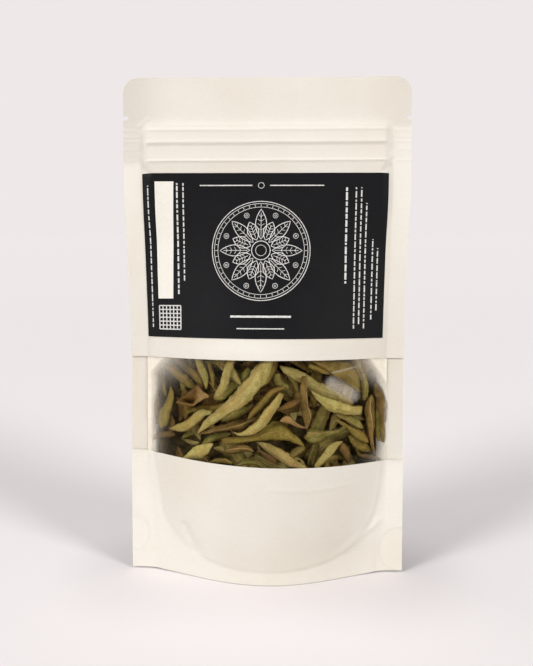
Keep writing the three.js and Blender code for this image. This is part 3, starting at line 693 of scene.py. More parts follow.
def paper_look():
    """Mottled, fibrous paper with a few flecks, and a painted contact shadow at its very foot."""
    look = new_look("paper", Specular_IOR_Level=0.35)
    # The amount mixes the painted shade of the open colour with the painted light of the sealed one
    base = look.coloured(look.amount(), (PAPER["open"], PAPER["sealed"]))
    tinted = look.mixed(1.0, base, srgb(PAPER["tint"]), "MULTIPLY")
    base = look.mixed(look.ranged(look.noisy(26, 2), 0.3, 0.7), base, tinted)
    stretched = look.add("Mapping", {"Vector": look.place, "Scale": (1, 1, 5)}, vector_type="POINT")[0]
    fibres = look.noisy(420, 4, 0.65, place=stretched)
    base = look.toned(base, look.ranged(fibres, 0.35, 0.7, 0.975, 1.02))
    cells = look.add("TexVoronoi", {"Vector": look.place, "Scale": 85.0, "Randomness": 1.0})
    near = look.ranged(cells["Distance"], 0.018, 0.03, 1.0, 0.0)
    few = look.maths("GREATER_THAN", look.add("SeparateColor", {0: cells["Color"]})[0], 0.93)
    base = look.mixed(look.maths("MULTIPLY", near, few), base, srgb(PAPER["fleck"]))
    # Painted contact shadow: the paper darkens up to about half a millimetre above the floor
    height = look.add("SeparateXYZ", {0: look.place})[2]
    look.put(Base_Color=look.toned(base, look.ranged(height, 0.00012, 0.00045, 0.5, 1.0)),
             Roughness=look.ranged(look.noisy(300), 0.3, 0.7, 0.55, 0.7))
    look.bump(look.noisy(160), 0.00012, 0.6)
    look.bump(look.noisy(1500, 3, 0.6, place=stretched), 0.00003, 0.7)
    return look.owner


def film_look():
    look = new_look("clear_film", Roughness=0.2, IOR=1.5, Specular_IOR_Level=0.07)
    # The milky colour and alpha carry the haze and the painted glare and highlights
    cloudy = look.ranged(look.noisy(240, 4, 0.6, 0.6), 0.3, 0.75, 0.9, 1.07)
    look.put(Alpha=look.maths("MULTIPLY", look.amount(), cloudy, clamped=True),
             Base_Color=look.coloured(cloudy, MILK_AND_GLARE))
    look.bump(look.noisy(110, 3, 0.5, 0.8), 0.0006, 0.5)
    return look.owner


def zip_look():
    look = new_look("zip_plastic", Roughness=0.32, Specular_IOR_Level=0.5, Subsurface_Weight=0.15,
                    Subsurface_Scale=0.002)
    look.put(Base_Color=look.coloured(look.ranged(look.noisy(180, 2), 0.3, 0.7), STRIP))
    look.bump(look.noisy(900, 2), 0.00003, 0.5)
    return look.owner


def label_look():
    look = new_look("black_label", Specular_IOR_Level=0.11)
    grain = look.noisy(900, 3, 0.6)
    look.put(Base_Color=look.coloured(grain, BLACK),
             Roughness=look.ranged(look.noisy(130), 0.3, 0.7, 0.42, 0.56))
    look.bump(grain, 0.00002, 0.5)
    return look.owner


def print_look(name, colours):
    look = new_look(name, Roughness=0.6, Specular_IOR_Level=0.3)
    look.put(Base_Color=look.coloured(look.ranged(look.noisy(1400, 3, 0.6), 0.35, 0.6), colours))
    return look.owner


def core_shade_look():
    # A sheet painted dark as the shade between the leaves deep in the heap
    look = new_look("painted_shade_core", Roughness=0.85, Specular_IOR_Level=0.15)
    patches = look.ranged(look.noisy(260, 4, 0.6), 0.35, 0.65)
    look.put(Base_Color=look.coloured(patches, CORE_SHADE))
    look.bump(patches, 0.0008, 0.8)
    return look.owner


def leaf_look(slot):
    """Mottled, speckled blade with a midrib, faint side veins, browned edges and tips, and painted shade
    towards the edges and beside the midrib. The flat place is along and across."""
    blade, mottle_and_shade, speckled, edge = map(srgb, LEAF_COLOURS[slot])
    look = new_look(slot + "_look", Specular_IOR_Level=0.12)
    maths, ranged, noisy, own = look.maths, look.ranged, look.noisy, look.amount()
    lengthwise, crosswise = look.add("SeparateXYZ", {0: look.add("UVMap", uv_map="flat")[0]})[:2]
    across = maths("ABSOLUTE", crosswise)
    patches = ranged(noisy(230, 5, 0.65, 0.5), 0.38, 0.64)
    tanned = ranged(noisy(90, 3, 0.5), 0.5, 0.66, 0.0, 0.6)
    stretched = {0: maths("MULTIPLY", lengthwise, 9.0), 1: maths("MULTIPLY", crosswise, 4.5),
                 2: maths("MULTIPLY", own, 40.0)}
    grain = noisy(1.6, 5, 0.7, 0.5, look.add("CombineXYZ", stretched)[0])
    drawn_out = ranged(grain, 0.46, 0.62, 0.0, 0.62)
    speckles = ranged(noisy(1300, 3, 0.7, 0.4), 0.54, 0.7, 0.0, 0.5)
    slanted = maths("SUBTRACT", maths("MULTIPLY", lengthwise, 19.0), maths("MULTIPLY", across, 3.2))
    wave = maths("FRACT", maths("ADD", slanted, maths("MULTIPLY", noisy(330, 2), 2.2)))
    veins = ranged(maths("ABSOLUTE", maths("SUBTRACT", wave, 0.5)), 0.0, 0.12, 0.2, 0.0)
    ragged = maths("ADD", across, maths("MULTIPLY", noisy(420), 0.35))
    # Painted shade towards the edges, where a rolled blade turns away from the light
    painted_edge_shade = ranged(ragged, 0.72, 1.1, 0.0, 0.55)
    browned = ranged(ragged, 0.99, 1.12, 0.0, 0.92)
    tips = ranged(maths("ABSOLUTE", maths("SUBTRACT", lengthwise, 0.5)), 0.46, 0.5, 0.0, 0.6)
    # Painted shade in the groove beside the midrib
    painted_rib_shade = ranged(across, 0.05, 0.12, 0.6, 0.0)
    rib = ranged(across, 0.03, 0.08, 1.0, 0.0)
    colour = blade
    for share, over in ((patches, mottle_and_shade), (tanned, srgb(TAN)), (drawn_out, mottle_and_shade), (speckles, speckled),
                        (veins, speckled), (painted_edge_shade, mottle_and_shade), (maths("MAXIMUM", browned, tips), edge),
                        (painted_rib_shade, edge), (maths("MULTIPLY", rib, 0.85), srgb(RIB_COLOUR))):
        colour = look.mixed(share, colour, over)
    tone, hue = ranged(own, 0.0, 1.0, 0.84, 1.1), ranged(own, 0.0, 1.0, 0.494, 0.506)
    look.put(Base_Color=look.toned(colour, tone, hue), Roughness=ranged(patches, 0.0, 1.0, 0.5, 0.7))
    look.bump(maths("MAXIMUM", rib, veins), 0.0002, 0.7)
    look.bump(grain, 0.0009, 0.8)
    look.bump(noisy(1300, 3, 0.6), 0.00015, 0.8)
    return look.owner


def floor_look():
    """Pale floor with a painted shadow round the pouch's foot, that goes over into the background far away.
    """
    look = new_look("pale_floor", Roughness=0.6, Specular_IOR_Level=0.1, Emission_Color=srgb(BACKGROUND))
    maths = look.maths
    x, y = look.add("SeparateXYZ", {0: look.place})[:2]
    beside = maths("MAXIMUM", maths("SUBTRACT", maths("ABSOLUTE", x), FOOT_SHADOW["half"]), 0.0)
    ahead = maths("ADD", y, FOOT_SHADOW["back"])
    away = maths("SQRT", maths("ADD", maths("MULTIPLY", beside, beside), maths("MULTIPLY", ahead, ahead)))
    # Painted shadow round the foot
    shadowed = look.ranged(away, FOOT_SHADOW["near"], FOOT_SHADOW["far"], FOOT_SHADOW["shadowed"], 1.0, "SMOOTHSTEP")
    distant = look.ranged(away, *FADE["from"], kind="SMOOTHSTEP")
    base = look.toned(srgb(FLOOR_COLOUR), shadowed)
    look.put(Base_Color=look.mixed(distant, base, (0.0, 0.0, 0.0, 1.0)),
             Emission_Strength=maths("MULTIPLY", distant, FADE["glow"]))
    return look.owner


# Papers, film, gusset and label
def half_at(t):
    """Half the outline's width: rounded top corners, and a tear notch in each side."""
    up = t - (HEIGHT - CORNER_RADIUS)
    if up > 0:
        return HALF - CORNER_RADIUS + math.sqrt(max(CORNER_RADIUS**2 - up**2, 0))
    off = abs(t - NOTCH["height"])
    if off < NOTCH["radius"]:
        return HALF - NOTCH["depth"] + NOTCH["radius"] - math.sqrt(NOTCH["radius"] ** 2 - off**2)
    return HALF


def outlined(s, t):
    """Squeezes the side margin's columns so that the last one follows the outline."""
    inner = HALF - CORNER_RADIUS - 0.4
    if abs(s) <= inner:
        return s
    k = (abs(s) - inner) / (HALF - inner)
    return math.copysign(lerp(inner, half_at(t), k), s)


def panel_point(side, faces, row_at=None):
    def point(s, t, face):
        t = row_at(s, t) if row_at else t
        s = outlined(s, t)
        return on_panel(s, t, side, faces[face] + relief(s, t, side))
    return point


def window_bottom(s):
    return WINDOW_BOTTOM + WINDOW_SLANT * s


COLUMNS = mirrored(spaced((0, 1.5), (48, 0.75), (55.5, 0.5), (59, 1), (62, 0.5), (HALF, 1)))
NOTCH_STEPS = (0, 0.45, 0.8, 0.995, 1.03)
NOTCH_ROWS = sorted({NOTCH["height"] + sign * NOTCH["radius"] * k for sign in (-1, 1) for k in NOTCH_STEPS})
CORNER_ROWS = [HEIGHT - CORNER_RADIUS * (1 - math.sin(math.pi / 2 * i / 12)) for i in range(13)]
UPPER_ROWS = (spaced((107, 1.6), (180, 0.4), (205.6, 1)) + NOTCH_ROWS + spaced((208.4, 1.2), (217.2, 1))
              + CORNER_ROWS)


def build_papers(look):
    def slanted(s, t):
        return t * window_bottom(s) / WINDOW_BOTTOM

    for name, node, side, rows, row_at in (
        ("above_window", "front_paper_upper", -1, spaced((WINDOW_TOP, 1), (106, 1)) + UPPER_ROWS, None),
        ("below_window", "front_paper_lower", -1, spaced((0, 0.6), (28, 0.9), (WINDOW_BOTTOM, 1)), slanted),
        ("back", "back_panel", 1, spaced((0, 0.7), (28, 1.2), (60, 1.8), (106, 1)) + UPPER_ROWS, None),
    ):
        point = panel_point(side, PAPER_FACES, row_at)
        build("paper_" + name, look, "paper", COLUMNS, rows, point, [node], painted_lightness)


def haze_and_glare(s, t):
    """How milky the film looks: clear in the middle, clouded beside the seals, partly as a painted
    reflection, and painted white in the upper corners and along the glare lines, as painted highlight and
    glare.
    """
    inwards = HALF_OPEN - abs(s)
    if inwards < 0:
        return SEAL_MILK
    margin = FILM_MARGINS[1 if s > 0 else -1]
    s0, t0, s1, t1 = margin["corner"]
    below_line = ((s - s0) * (t1 - t0) - (t - t0) * (s1 - s0)) / math.hypot(s1 - s0, t1 - t0)
    clear = min(inwards - margin["width"], below_line)
    corner = max(smoothstep(t, 80, 92), margin["low"] * (1 - smoothstep(t, WINDOW_BOTTOM, 60)))
    fading = margin["milky"] * math.exp(-max(clear, 0) / lerp(margin["fade"], margin["corner_fade"], corner))
    # Fully milky next to the seal and beyond the corner line, where it is a painted highlight
    milk_and_glare = lerp(fading, 1, 1 - smoothstep(clear, -0.5, 0.3))
    # Painted glare lines
    for glare in GLARES:
        off = min(to_segment(s, t, *a, *b) for a, b in zip(glare["line"], glare["line"][1:]))
        milk_and_glare = max(milk_and_glare, glare["milky"] * (1 - smoothstep(off, 0.2 * glare["half"], glare["half"])))
    return 1 - math.sqrt(1 - clamp(milk_and_glare))  # the light passes both faces of the film


def build_film(look):
    def row_at(s, v):
        return lerp(window_bottom(s) - FILM_LAP, WINDOW_TOP + FILM_LAP, v)

    def point(s, v, face):
        t = row_at(s, v)
        near_seal = hump(HALF_OPEN - abs(s), 9) if abs(s) < HALF_OPEN else 0
        pucker = -0.25 * near_seal * (1 + uneven(s / 9, t / 3.2, 2))
        return on_panel(s, t, -1, FILM_FACES[face] + relief(s, t, -1) + pucker)

    build("clear_window", look, "film", COLUMNS, evenly(0, 1, 130), point, ["window_film"],
          lambda s, v: haze_and_glare(s, row_at(s, v)))


def build_gusset(look):
    g = GUSSET
    columns = evenly(-g["half"], g["half"], 84)
    across = [-2, -1.75, -1.5, -1.25] + evenly(-1, 1, 40) + [1.25, 1.5, 1.75, 2]

    def point(s, v, face):
        side = -1 if v < 0 else 1
        deeper = g["thick"] if face else 0
        end = (s / g["half"]) ** 2
        skirt_top = lerp(g["skirt"], g["skirt_end"], end)
        if abs(v) >= 1:
            return on_panel(s, skirt_top * (2 - abs(v)), side, -g["inset"] - deeper)
        foot = on_panel(s, skirt_top, side, -g["inset"])
        arch = 1 - abs(v) ** g["arch"]
        crumple = 0.5 * uneven(s / 12, v * 1.8, 4) * arch
        top = lerp(g["crest"], g["fold"], end) - deeper * 1.5 + crumple
        return Vector((foot.x, foot.y * abs(v) - side * deeper * abs(v), lerp(foot.z, top, arch)))

    # The skirt takes the sealed colour and the arch the open one, as painted shade
    build("base_fold", look, "paper", columns, across, point, ["bottom_gusset"],
          lambda s, v: 1.0 if abs(v) > 1 else 0.0)


def printed(s, t, outwards):
    """A point of the label's surface; the label follows the paper under it."""
    return on_panel(s, t, -1, outwards + relief(s, t, -1))


def build_label(label, ink, panel):
    columns = within(COLUMNS, LABEL["left"], LABEL["right"])
    rows = within(UPPER_ROWS, LABEL["bottom"], LABEL["top"])
    build("black_label_sheet", label, "label", columns, rows,
          lambda s, t, face: printed(s, t, LABEL_FACES[face]), ["front_label"])

    def blank_point(u, t, face):
        upwards = (t - BLANK["bottom"]) / (BLANK["top"] - BLANK["bottom"])
        right = lerp(BLANK["right_low"], BLANK["right_high"], upwards)
        return printed(lerp(BLANK["left"], right, u), t, PANEL_FACES[face])

    rows = evenly(BLANK["bottom"], BLANK["top"], 40)
    build("blank_panel", panel, "label", evenly(0, 1, 8), rows, blank_point)

    art = Shape()
    draw_rosette(art)
    draw_rules(art)
    draw_lattice(art)
    art.piece("label_ornament", ink, "label")


def circle(s, t, radius, count=72):
    return [(s + radius * math.cos(a), t + radius * math.sin(a)) for a in evenly(0, 2 * math.pi, count)[:-1]]


def pointed_oval(angle, inner, outer, half, count=12):
    """The outline of a petal between two radii of the rosette."""
    edge = []
    for sign in (1, -1):
        for k in evenly(0, 1, count)[:-1]:
            k = k if sign > 0 else 1 - k
            out, aside = lerp(inner, outer, k), sign * half * math.sin(math.pi * k) ** 0.9
            edge.append(turned(angle, out, aside))
    return edge


def turned(angle, out, aside):
    c, d = math.cos(angle), math.sin(angle)
    return (ROSETTE["s"] + out * c - aside * d, ROSETTE["t"] + out * d + aside * c)


def draw_rosette(art):
    r = ROSETTE
    for radius, width in RINGS:
        art.stroke(circle(r["s"], r["t"], radius), width, closed=True)
    for i in range(r["petals"]):
        angle = 2 * math.pi * i / r["petals"]
        outer = r["outer"] if i % 2 == 0 else r["outer"] * 0.74
        art.stroke(pointed_oval(angle, r["inner"], outer, r["half"]), LINE, closed=True)
        art.stroke([turned(angle, out, 0) for out in evenly(r["inner"] + 1.2, outer - 1.6, 8)], THIN_LINE)
        for k in HATCHES:
            out = lerp(r["inner"], outer, k)
            reach = 0.62 * r["half"] * math.sin(math.pi * k)
            for sign in (1, -1):
                hatch = [turned(angle, out, 0), turned(angle, out + 0.9, sign * reach)]
                art.stroke(hatch, THIN_LINE * 0.8)
        if i % 2:
            s, t = turned(angle, r["outer"] - 1.6, 0)
            art.stroke(circle(s, t, 1.1, 20), THIN_LINE, closed=True)
            art.stroke(circle(s, t, 0.4, 10), THIN_LINE, closed=True)
    for i in range(TICKS["count"]):
        angle = 2 * math.pi * i / TICKS["count"]
        art.stroke([turned(angle, TICKS["inner"], 0), turned(angle, TICKS["outer"], 0)], THIN_LINE)


def draw_rules(art):
    for t, low, high, width in LEVEL_RULES:
        art.stroke([(s, t) for s in spaced((low, 2), (high, 1))], width)
    art.stroke(circle(ROSETTE["s"], LEVEL_RULES[0][0], 1.3, 24), THIN_LINE, closed=True)
    draw = random.Random(3)
    for s, low, high, width, longest in DASHED:
        t = low
        while t < high:
            end = min(t + draw.uniform(0.9, longest), high)
            art.stroke([(s, t), (s, (t + end) / 2), (s, end)], width)
            t = end + draw.uniform(0.5, 0.9)


def draw_lattice(art):
    step = LATTICE["size"] / LATTICE["cells"]
    for i in range(LATTICE["cells"] + 1):
        off = i * step
        reach = evenly(0, LATTICE["size"], 6)
        art.stroke([(LATTICE["left"] + off, LATTICE["bottom"] + k) for k in reach], 0.5)
        art.stroke([(LATTICE["left"] + k, LATTICE["bottom"] + off) for k in reach], 0.5)


def drawer(seed):
    """The same repeatable draws between 0 and 1 as the solids' source makes."""
    whole = 0xFFFFFFFF
    state = seed

    def draw():
        nonlocal state
        state = (state + 0x6D2B79F5) & whole
        mixed_up = ((state ^ (state >> 15)) * (1 | state)) & whole
        twice = ((mixed_up ^ (mixed_up >> 7)) * (61 | mixed_up)) & whole
        mixed_up = ((mixed_up + twice) & whole) ^ mixed_up
        return (mixed_up ^ (mixed_up >> 14)) / 4294967296
    return draw


def drawn_leaves():
    draw = drawer(BEHIND["seed"])

    def between(low, high):
        return low + (high - low) * draw()

    leaves = []
    for _ in range(BEHIND["leaves"]):
        place = between(-1, 1) * BEHIND["half"], between(BEHIND["low"], BEHIND["high"])
        leaves.append((*place, *[between(*ends) for ends in BEHIND_RANGES]))
        draw()  # the tone, which the record already gives
    return leaves


def film_inside(x, z):
    """Y of the solid film's inner face over a point of the front view."""
    s, t = x, z
    for _ in range(3):
        s = clamp(x * HALF / along(HALF_WIDTH, t), -HALF, HALF)
        t = clamp(z - (height_of(s, t) - t), 0, HEIGHT)
    return -depth_of(s, t) + SOLID_FILM_INSIDE


def solid_depth(node):
    """How far behind the film a leaf's solid lies, at its nearest point."""
    points = [vertex.co / MM for vertex in frame["nodes"][node].data.vertices]
    return min(point.y - film_inside(point.x, point.z) for point in points)


def leaf_place(leaf, a, crosswise):
    """X and z of a point along a leaf and across it, in the front view."""
    x, z, length, _, degrees, _, bow = leaf
    angle = math.radians(degrees)
    lengthwise = (a - 0.5) * length
    crosswise += bow * length * (1 - (2 * a - 1) ** 2)
    return (x + lengthwise * math.cos(angle) - crosswise * math.sin(angle),
            z + lengthwise * math.sin(angle) + crosswise * math.cos(angle))


def plain_line(leaf):
    """The middle line of a leaf that is given by its place and size: x, z and half the width that is seen."""
    _, _, _, width, _, curl, _ = leaf
    seen = width / curl * math.sin(min(curl, math.pi) / 2)
    line = []
    for a in evenly(0, 1, 8):
        blade = seen * lerp(math.sin(math.pi * clamp(a, 1e-3, 0.999) ** 0.88) ** 0.85, 1, TIP_WIDTH)
        line.append((*leaf_place(leaf, a, 0), blade))
    return line


def eye():
    """Where the camera stands, in mm."""
    yaw = math.radians(CAMERA["yaw"])
    return Vector((CAMERA["distance"] * math.sin(yaw), -CAMERA["distance"] * math.cos(yaw), CAMERA["height"]))


def from_photo(across, down, depth):
    """X and z where a photo pixel's ray comes to a depth behind the film, and the pixels in a mm there."""
    yaw, dip = math.radians(CAMERA["yaw"]), math.radians(CAMERA["down"])
    ahead = Vector((-math.sin(yaw) * math.cos(dip), math.cos(yaw) * math.cos(dip), -math.sin(dip)))
    right = Vector((math.cos(yaw), math.sin(yaw), 0))
    up = right.cross(ahead)
    ray = ahead + (right * (across - PHOTO_WIDTH / 2) - up * (down - CAMERA["middle"])) / CAMERA["focal"]
    start = eye()
    y = 0.0
    for _ in range(5):
        place = start + ray * ((y - start.y) / ray.y)
        y = film_inside(place.x, place.z) + depth
    return place.x, place.z, CAMERA["focal"] / (place - start).dot(ahead)


def seen_line(line, depth):
    """A leaf's middle line in the front view, from its line in the photo."""
    made = []
    for across, down, half in line:
        x, z, scale = from_photo(across, down, depth)
        made.append((x, z, half / scale))
    return made


class Line:
    """A smooth middle line with the half width along it, read by the share of its length."""

    def __init__(self, points):
        self.length = 0.0
        self.profiles = [], [], []
        before = points[0]
        for point in points:
            self.length += math.hypot(point[0] - before[0], point[1] - before[1])
            before = point
            for profile, value in zip(self.profiles, point):
                profile.append((self.length, value))
        self.seed = points[0][0] * 1.7 + points[0][1] * 0.9

    def middle(self, a):
        return [along(profile, a * self.length) for profile in self.profiles[:2]]

    def half(self, a):
        return max(along(self.profiles[2], a * self.length), LEAST_HALF)

    def place(self, a, crosswise):
        x, z = self.middle(a)
        (x0, z0), (x1, z1) = self.middle(max(a - 0.02, 0)), self.middle(min(a + 0.02, 1))
        length = math.hypot(x1 - x0, z1 - z0)
        return x - crosswise * (z1 - z0) / length, z + crosswise * (x1 - x0) / length


class Pile:
    """How deep behind the film the room is already taken, over the window."""

    def __init__(self):
        self.taken = {}

    def cell(self, x, z):
        return round(x / PILE_CELL), round(z / PILE_CELL)

    def depth(self, x, z):
        i, j = self.cell(x, z)
        return max(self.taken.get((i + di, j + dj), 0.0) for di in (-1, 0, 1) for dj in (-1, 0, 1))

    def take(self, x, z, depth):
        cell = self.cell(x, z)
        self.taken[cell] = max(self.taken.get(cell, 0.0), depth)

    def settle(self, start, needs, spacing):
        """Depths along a leaf: no less than each need, and no steeper than a leaf runs."""
        count = len(needs)
        reach = [max(max(need - abs(i - j) * spacing * LEAF_TILT for j, need in enumerate(needs)), start)
                 for i in range(count)]
        smooth = []
        for i in range(count):
            near = reach[max(i - 4, 0):i + 5]
            smooth.append(sum(near) / len(near))
        short = max(max(r - s for r, s in zip(needs, smooth)), 0)
        return [depth + short for depth in smooth]


def section(shares, turns, strips, half):
    """Across a blade: place, depth and the direction the surface faces, from one edge to the other, as wide
    as it is to be seen, with its nearest point at depth 0. shares are the widths of its two sides, and turns
    gives how the blade is curled, rolled round its length, folded at the midrib and leaning to one edge."""
    curl, roll, fold, lean = turns
    middle = strips // 2
    made = {}

    def heading(v):
        return roll + v * curl / 2 * (1 + lean * v) + fold * math.tanh(v / FOLD_WIDTH)

    for sign, share in zip((-1, 1), shares):
        across = depth = 0.0
        for k in range(middle + 1):
            if k:
                turn = heading(sign * (k - 0.5) / middle)
                across += sign * math.cos(turn) * share / middle
                depth += sign * math.sin(turn) * share / middle
            facing = heading(sign * k / middle)
            made[sign * k] = (across, depth, math.sin(facing), -math.cos(facing))
    places, depths, *_ = zip(*made.values())
    centre = (min(places) + max(places)) / 2
    scale = 2 * half / (max(places) - min(places))
    return [((c - centre) * scale, (d - min(depths)) * scale, *facing)
            for _, (c, d, *facing) in sorted(made.items())]


def add_leaf(shape, line, depth, habit, size, own, pile, back, tucked=False):
    """A dried leaf: a pointed blade, rolled, folded and twisted, with a raised midrib and a crinkled edge.
    habit is curl, roll, fold, lean, place of the midrib and 1 or -1 for the side that faces the window; size
    is steps and strips. The leaf is laid behind whatever the pile already holds, or only mostly so where it
    is tucked in between others. It stays in front of the back panel, by back."""
    curl, roll, fold, lean, rib, outside = habit
    seed = line.seed
    twist = LEAF_TWIST * math.sin(7 * seed)
    stations = evenly(0, 1, size[0])
    across = evenly(-1, 1, size[1])
    laid = {}
    needs = []
    for a in stations:
        run = a * line.length
        torn = [1 + 0.18 * uneven(run / 2, side, seed) + 0.08 * uneven(run / 0.8, side, seed)
                for side in (-3, 3)]
        bend = 0.25 * uneven(run / 9, 8, seed)
        turns = (outside * curl * (1 + bend), roll + twist * (2 * a - 1) + bend, outside * fold, lean)
        half = line.half(a) * (1 + 0.14 * uneven(run / 1.2, 5, seed))
        need = 0.0
        for v, (c, d, facing_c, facing_d) in zip(across, section(torn, turns, size[1], half)):
            off = v * half
            bumps = sum(tall * uneven(run / long, off / wide, seed + 5 * k)
                        for k, (tall, long, wide) in enumerate(WAVES))
            bumps += 0.16 * (1 - 2 * abs(uneven(run / 9, off / 1.2, seed + 9)))
            bumps += 0.12 * outside * hump((v - rib) * half, 0.35) if rib is not None else 0
            bumps += 0.25 * smoothstep(abs(v), 0.7, 1) * uneven(run / 2.5, v + seed, 3)
            bumps *= min(1, half / 3)
            laid[a, v] = (c, d, facing_c, facing_d, bumps)
            need = max(need, pile.depth(*line.place(a, c)) - d - facing_d * bumps + LEAF_GAP)
        needs.append(need)
    if tucked:
        depths = dict.fromkeys(stations, max(depth, sorted(needs)[len(needs) // 3]))
    else:
        depths = dict(zip(stations, pile.settle(depth, needs, line.length / size[0])))

    def point(a, v, face):
        c, d, facing_c, facing_d, bumps = laid[a, v]
        out = bumps - (LEAF_THICK if face else 0)
        px, pz = line.place(a, c + facing_c * out)
        behind = depths[a] + d + facing_d * out
        film = film_inside(px, pz)
        y = film + behind
        if y > -film - back:
            y = lerp(-film - back, y, 0.04)
        pile.take(px, pz, behind)
        return Vector((px, y, pz))

    def place(a, v):
        if rib is None:
            return a, math.copysign(lerp(HIDDEN_RIB, 1, abs(v)), v)
        return a, (v - rib) / (1 - rib if v > rib else 1 + rib)

    shape.grid(stations, across, point, place, lambda a, v: own)


def habit_of(number, curl, draw):
    roll, fold, lean, rib, outside = drawn_habit(draw)
    if number in HABITS:
        roll, fold, lean, rib = HABITS[number]
        outside = 1
    return min(curl, WIDEST_CURL), roll, fold, lean, rib, outside


def drawn_habit(draw):
    """Roll, fold, lean, place of the midrib and the side that faces the window."""
    outside = -1 if draw.random() < 0.15 else 1
    rib = draw.uniform(-0.4, 0.4) if draw.random() < 0.4 else None
    return draw.uniform(-0.4, 0.4), draw.uniform(0, 0.35), draw.uniform(-0.4, 0.4), rib, outside


def build_leaves(looks, pile):
    slots = {row["node"]: row["material_slot"] for row in frame["record"]["subparts"]}

    def build_leaf(name, slot, line, depth, habit, own, replaced=()):
        shape = Shape()
        if name == f"dried_leaf_{CUP_LEAF}":
            add_cup(shape, depth, own, pile)
        else:
            size = max(28, round(line.length * 2.2)), 24
            add_leaf(shape, line, depth, habit, size, own, pile, BACK_ROOM)
        shape.piece(name, looks[slot], slot, replaced, sharp=75)

    for number, curl in enumerate(CURLS, 1):
        node = f"leaf_{number:02d}"
        draw = random.Random(number)
        depth = solid_depth(node)
        line = Line(seen_line(LEAF_LINES[number], depth)) if number in LEAF_LINES else None
        habit = habit_of(number, curl, draw)
        own = LIGHT_ONES.get(number, draw.random())
        build_leaf("dried_" + node, slots[node], line, depth, habit, own, [node])

    for number, (kind, points) in enumerate(MORE_LINES, 1):
        draw = random.Random(100 + number)
        line = Line(seen_line(points, MORE_DEPTH))
        habit = habit_of(0, draw.uniform(1.8, 2.8), draw)
        build_leaf(f"loose_leaf_{number:02d}", "leaf_" + kind, line, MORE_DEPTH, habit, draw.random())

    for number, leaf in enumerate(drawn_leaves(), len(CURLS) + 1):
        node = f"leaf_{number:02d}"
        draw = random.Random(number)
        line = Line(plain_line(leaf))
        habit = habit_of(number, leaf[5], draw)
        # Kept to the darker tones: painted shade on the leaves further back
        own = draw.random() * 0.6
        build_leaf("dried_" + node, slots[node], line, solid_depth(node), habit, own, [node])


def add_cup(shape, depth, own, pile):
    """The cup: a blade from its low edge down into a fold and up again to its high edge."""
    edges = []
    for row in (CUP["low"], CUP["fold"], CUP["high"]):
        points = []
        for across, down, deeper in row:
            x, z, _ = from_photo(across, down, depth + deeper)
            points.append((x, z, depth + deeper))
        edges.append([list(enumerate(axis)) for axis in zip(*points)])
    count = len(CUP["low"]) - 1

    def point(a, v, face):
        low, fold, high = ([along(axis, a * count) for axis in edge] for edge in edges)
        bulged = abs(v) ** 0.8
        x, z, behind = (lerp(here, there, bulged) for here, there in zip(fold, low if v < 0 else high))
        crinkle = 0.25 * uneven(a * 9, v * 2.5, 4) + 0.1 * uneven(a * 24, v * 6, 6)
        behind += crinkle + (LEAF_THICK if face else 0)
        pile.take(x, z, behind)
        return Vector((x, film_inside(x, z) + behind, z))

    shape.grid(evenly(0, 1, 48), evenly(-1, 1, 20), point, amount=lambda a, v: own)


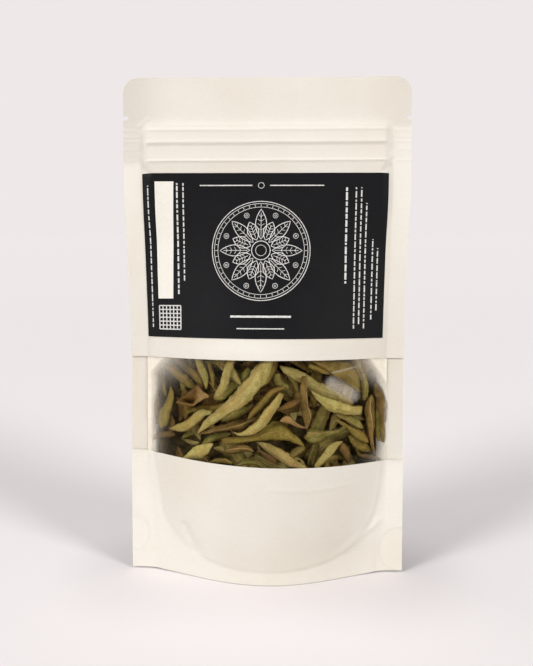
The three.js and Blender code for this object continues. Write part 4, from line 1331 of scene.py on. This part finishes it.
def build_heap(looks, dark, pile):
    """Loose leaves behind those that show, between film and back, and a core painted dark as shade in their
    middle.
    """
    draw = random.Random(HEAP["seed"])
    by_slot = {}
    for i in range(HEAP["leaves"]):
        x, z = draw.uniform(-1, 1) * HEAP["half"], draw.uniform(HEAP["low"], HEAP["high"])
        length, width = draw.uniform(*HEAP["length"]), draw.uniform(*HEAP["width"])
        degrees = draw.uniform(-90, 90)
        if i % 3 == 0:  # steep ones along the sides
            x = math.copysign(draw.uniform(*HEAP["steep"]), x)
            length *= 0.6
            degrees = 90 + draw.uniform(-16, 16)
        curl, bow = draw.uniform(1.8, WIDEST_CURL), draw.uniform(-0.06, 0.06)
        slot = draw.choice(HEAP_KINDS)
        # Kept to the darker tones: painted shade on the leaves further back
        own, habit = draw.uniform(0, 0.7), drawn_habit(draw)
        angle = math.radians(degrees)
        reach = (abs(math.cos(angle)) * length + abs(math.sin(angle)) * width * 0.6) / 2
        free = HALF_OPEN - HEAP["margin"] - reach
        x = clamp(x, -free, free)
        room = min(-2 * film_inside(x + sign * reach, z) for sign in (-1, 0, 1)) - HEAP["back"]
        if room < HEAP["first"] + 1.5 or pile.depth(x, z) > HEAP["fill"] * room:
            continue
        line = Line(plain_line((x, z, length, width, degrees, curl, bow)))
        shape, habit = by_slot.setdefault(slot, Shape()), (curl, *habit)
        add_leaf(shape, line, HEAP["first"], habit, HEAP["size"], own, pile, HEAP["back"], tucked=True)
    for slot, shape in by_slot.items():
        replaced = ["leaf_heap"] if slot == "leaf_olive" else []
        shape.piece("heap_" + slot, looks[slot], slot, replaced, sharp=75)

    def point(x, z, face):
        near = film_inside(x, z)
        rough = 1.6 * uneven(x / 5, z / 5, 6) + 0.8 * uneven(x / 2, z / 2, 1)
        front = lerp(*CORE["front"], smoothstep(-near, 3, 15)) * near + 0.25 * rough * min(1, -near / 6)
        return Vector((x, CORE["back"] * near if face else front, z))

    columns, rows = evenly(-CORE["half"], CORE["half"], 64), evenly(CORE["low"], CORE["high"], 48)
    build("heap_core", dark, "leaf_olive", columns, rows, point)


def build_stage():
    mesh = bpy.data.meshes.new("floor")
    ring = [(*point, 0) for point in circle(0, 0, FLOOR_RADIUS, 64)]
    mesh.from_pydata(ring, [], [tuple(range(len(ring)))])
    mesh.materials.append(floor_look())
    placed("floor", mesh)

    for name, aside, up, strength, angle in SUNS:
        lamp = bpy.data.lights.new(name, "SUN")
        lamp.energy = strength
        lamp.angle = math.radians(angle)
        placed(name, lamp).rotation_euler = (math.radians(90 - up), 0, math.radians(aside))

    world = bpy.data.worlds.new("soft_room")
    nodes = Nodes(world, "Background")
    seen = nodes.add("LightPath")["Is Camera Ray"]
    nodes.put(Color=nodes.mixed(seen, ROOM_LIGHT, srgb(BACKGROUND)))
    bpy.context.scene.world = world


def build_camera():
    camera = bpy.data.cameras.new("camera")
    camera.sensor_width = SENSOR
    camera.lens = CAMERA["focal"] / PHOTO_HEIGHT * SENSOR
    camera.shift_y = -(PHOTO_HEIGHT / 2 - CAMERA["middle"]) / PHOTO_HEIGHT
    camera.clip_start, camera.clip_end = CLIP
    made = placed("camera", camera)
    made.location = eye() * MM
    made.rotation_euler = (math.radians(90 - CAMERA["down"]), 0, math.radians(CAMERA["yaw"]))
    bpy.context.scene.camera = made


def finish_zip(look):
    for node in ("zip_strip_front", "zip_strip_back"):
        mesh = frame["nodes"][node].data
        mesh.materials.clear()
        mesh.materials.append(look)


build_camera()
build_stage()
bpy.context.scene.view_settings.view_transform = "Standard"
paper = paper_look()
build_papers(paper)
build_film(film_look())
build_gusset(paper)
build_label(label_look(), print_look("white_ink", WHITE_INK), print_look("panel_ink", PANEL_INK))
leaf_looks = {slot: leaf_look(slot) for slot in LEAF_COLOURS}
pile = Pile()
build_leaves(leaf_looks, pile)
build_heap(leaf_looks, core_shade_look(), pile)
finish_zip(zip_look())
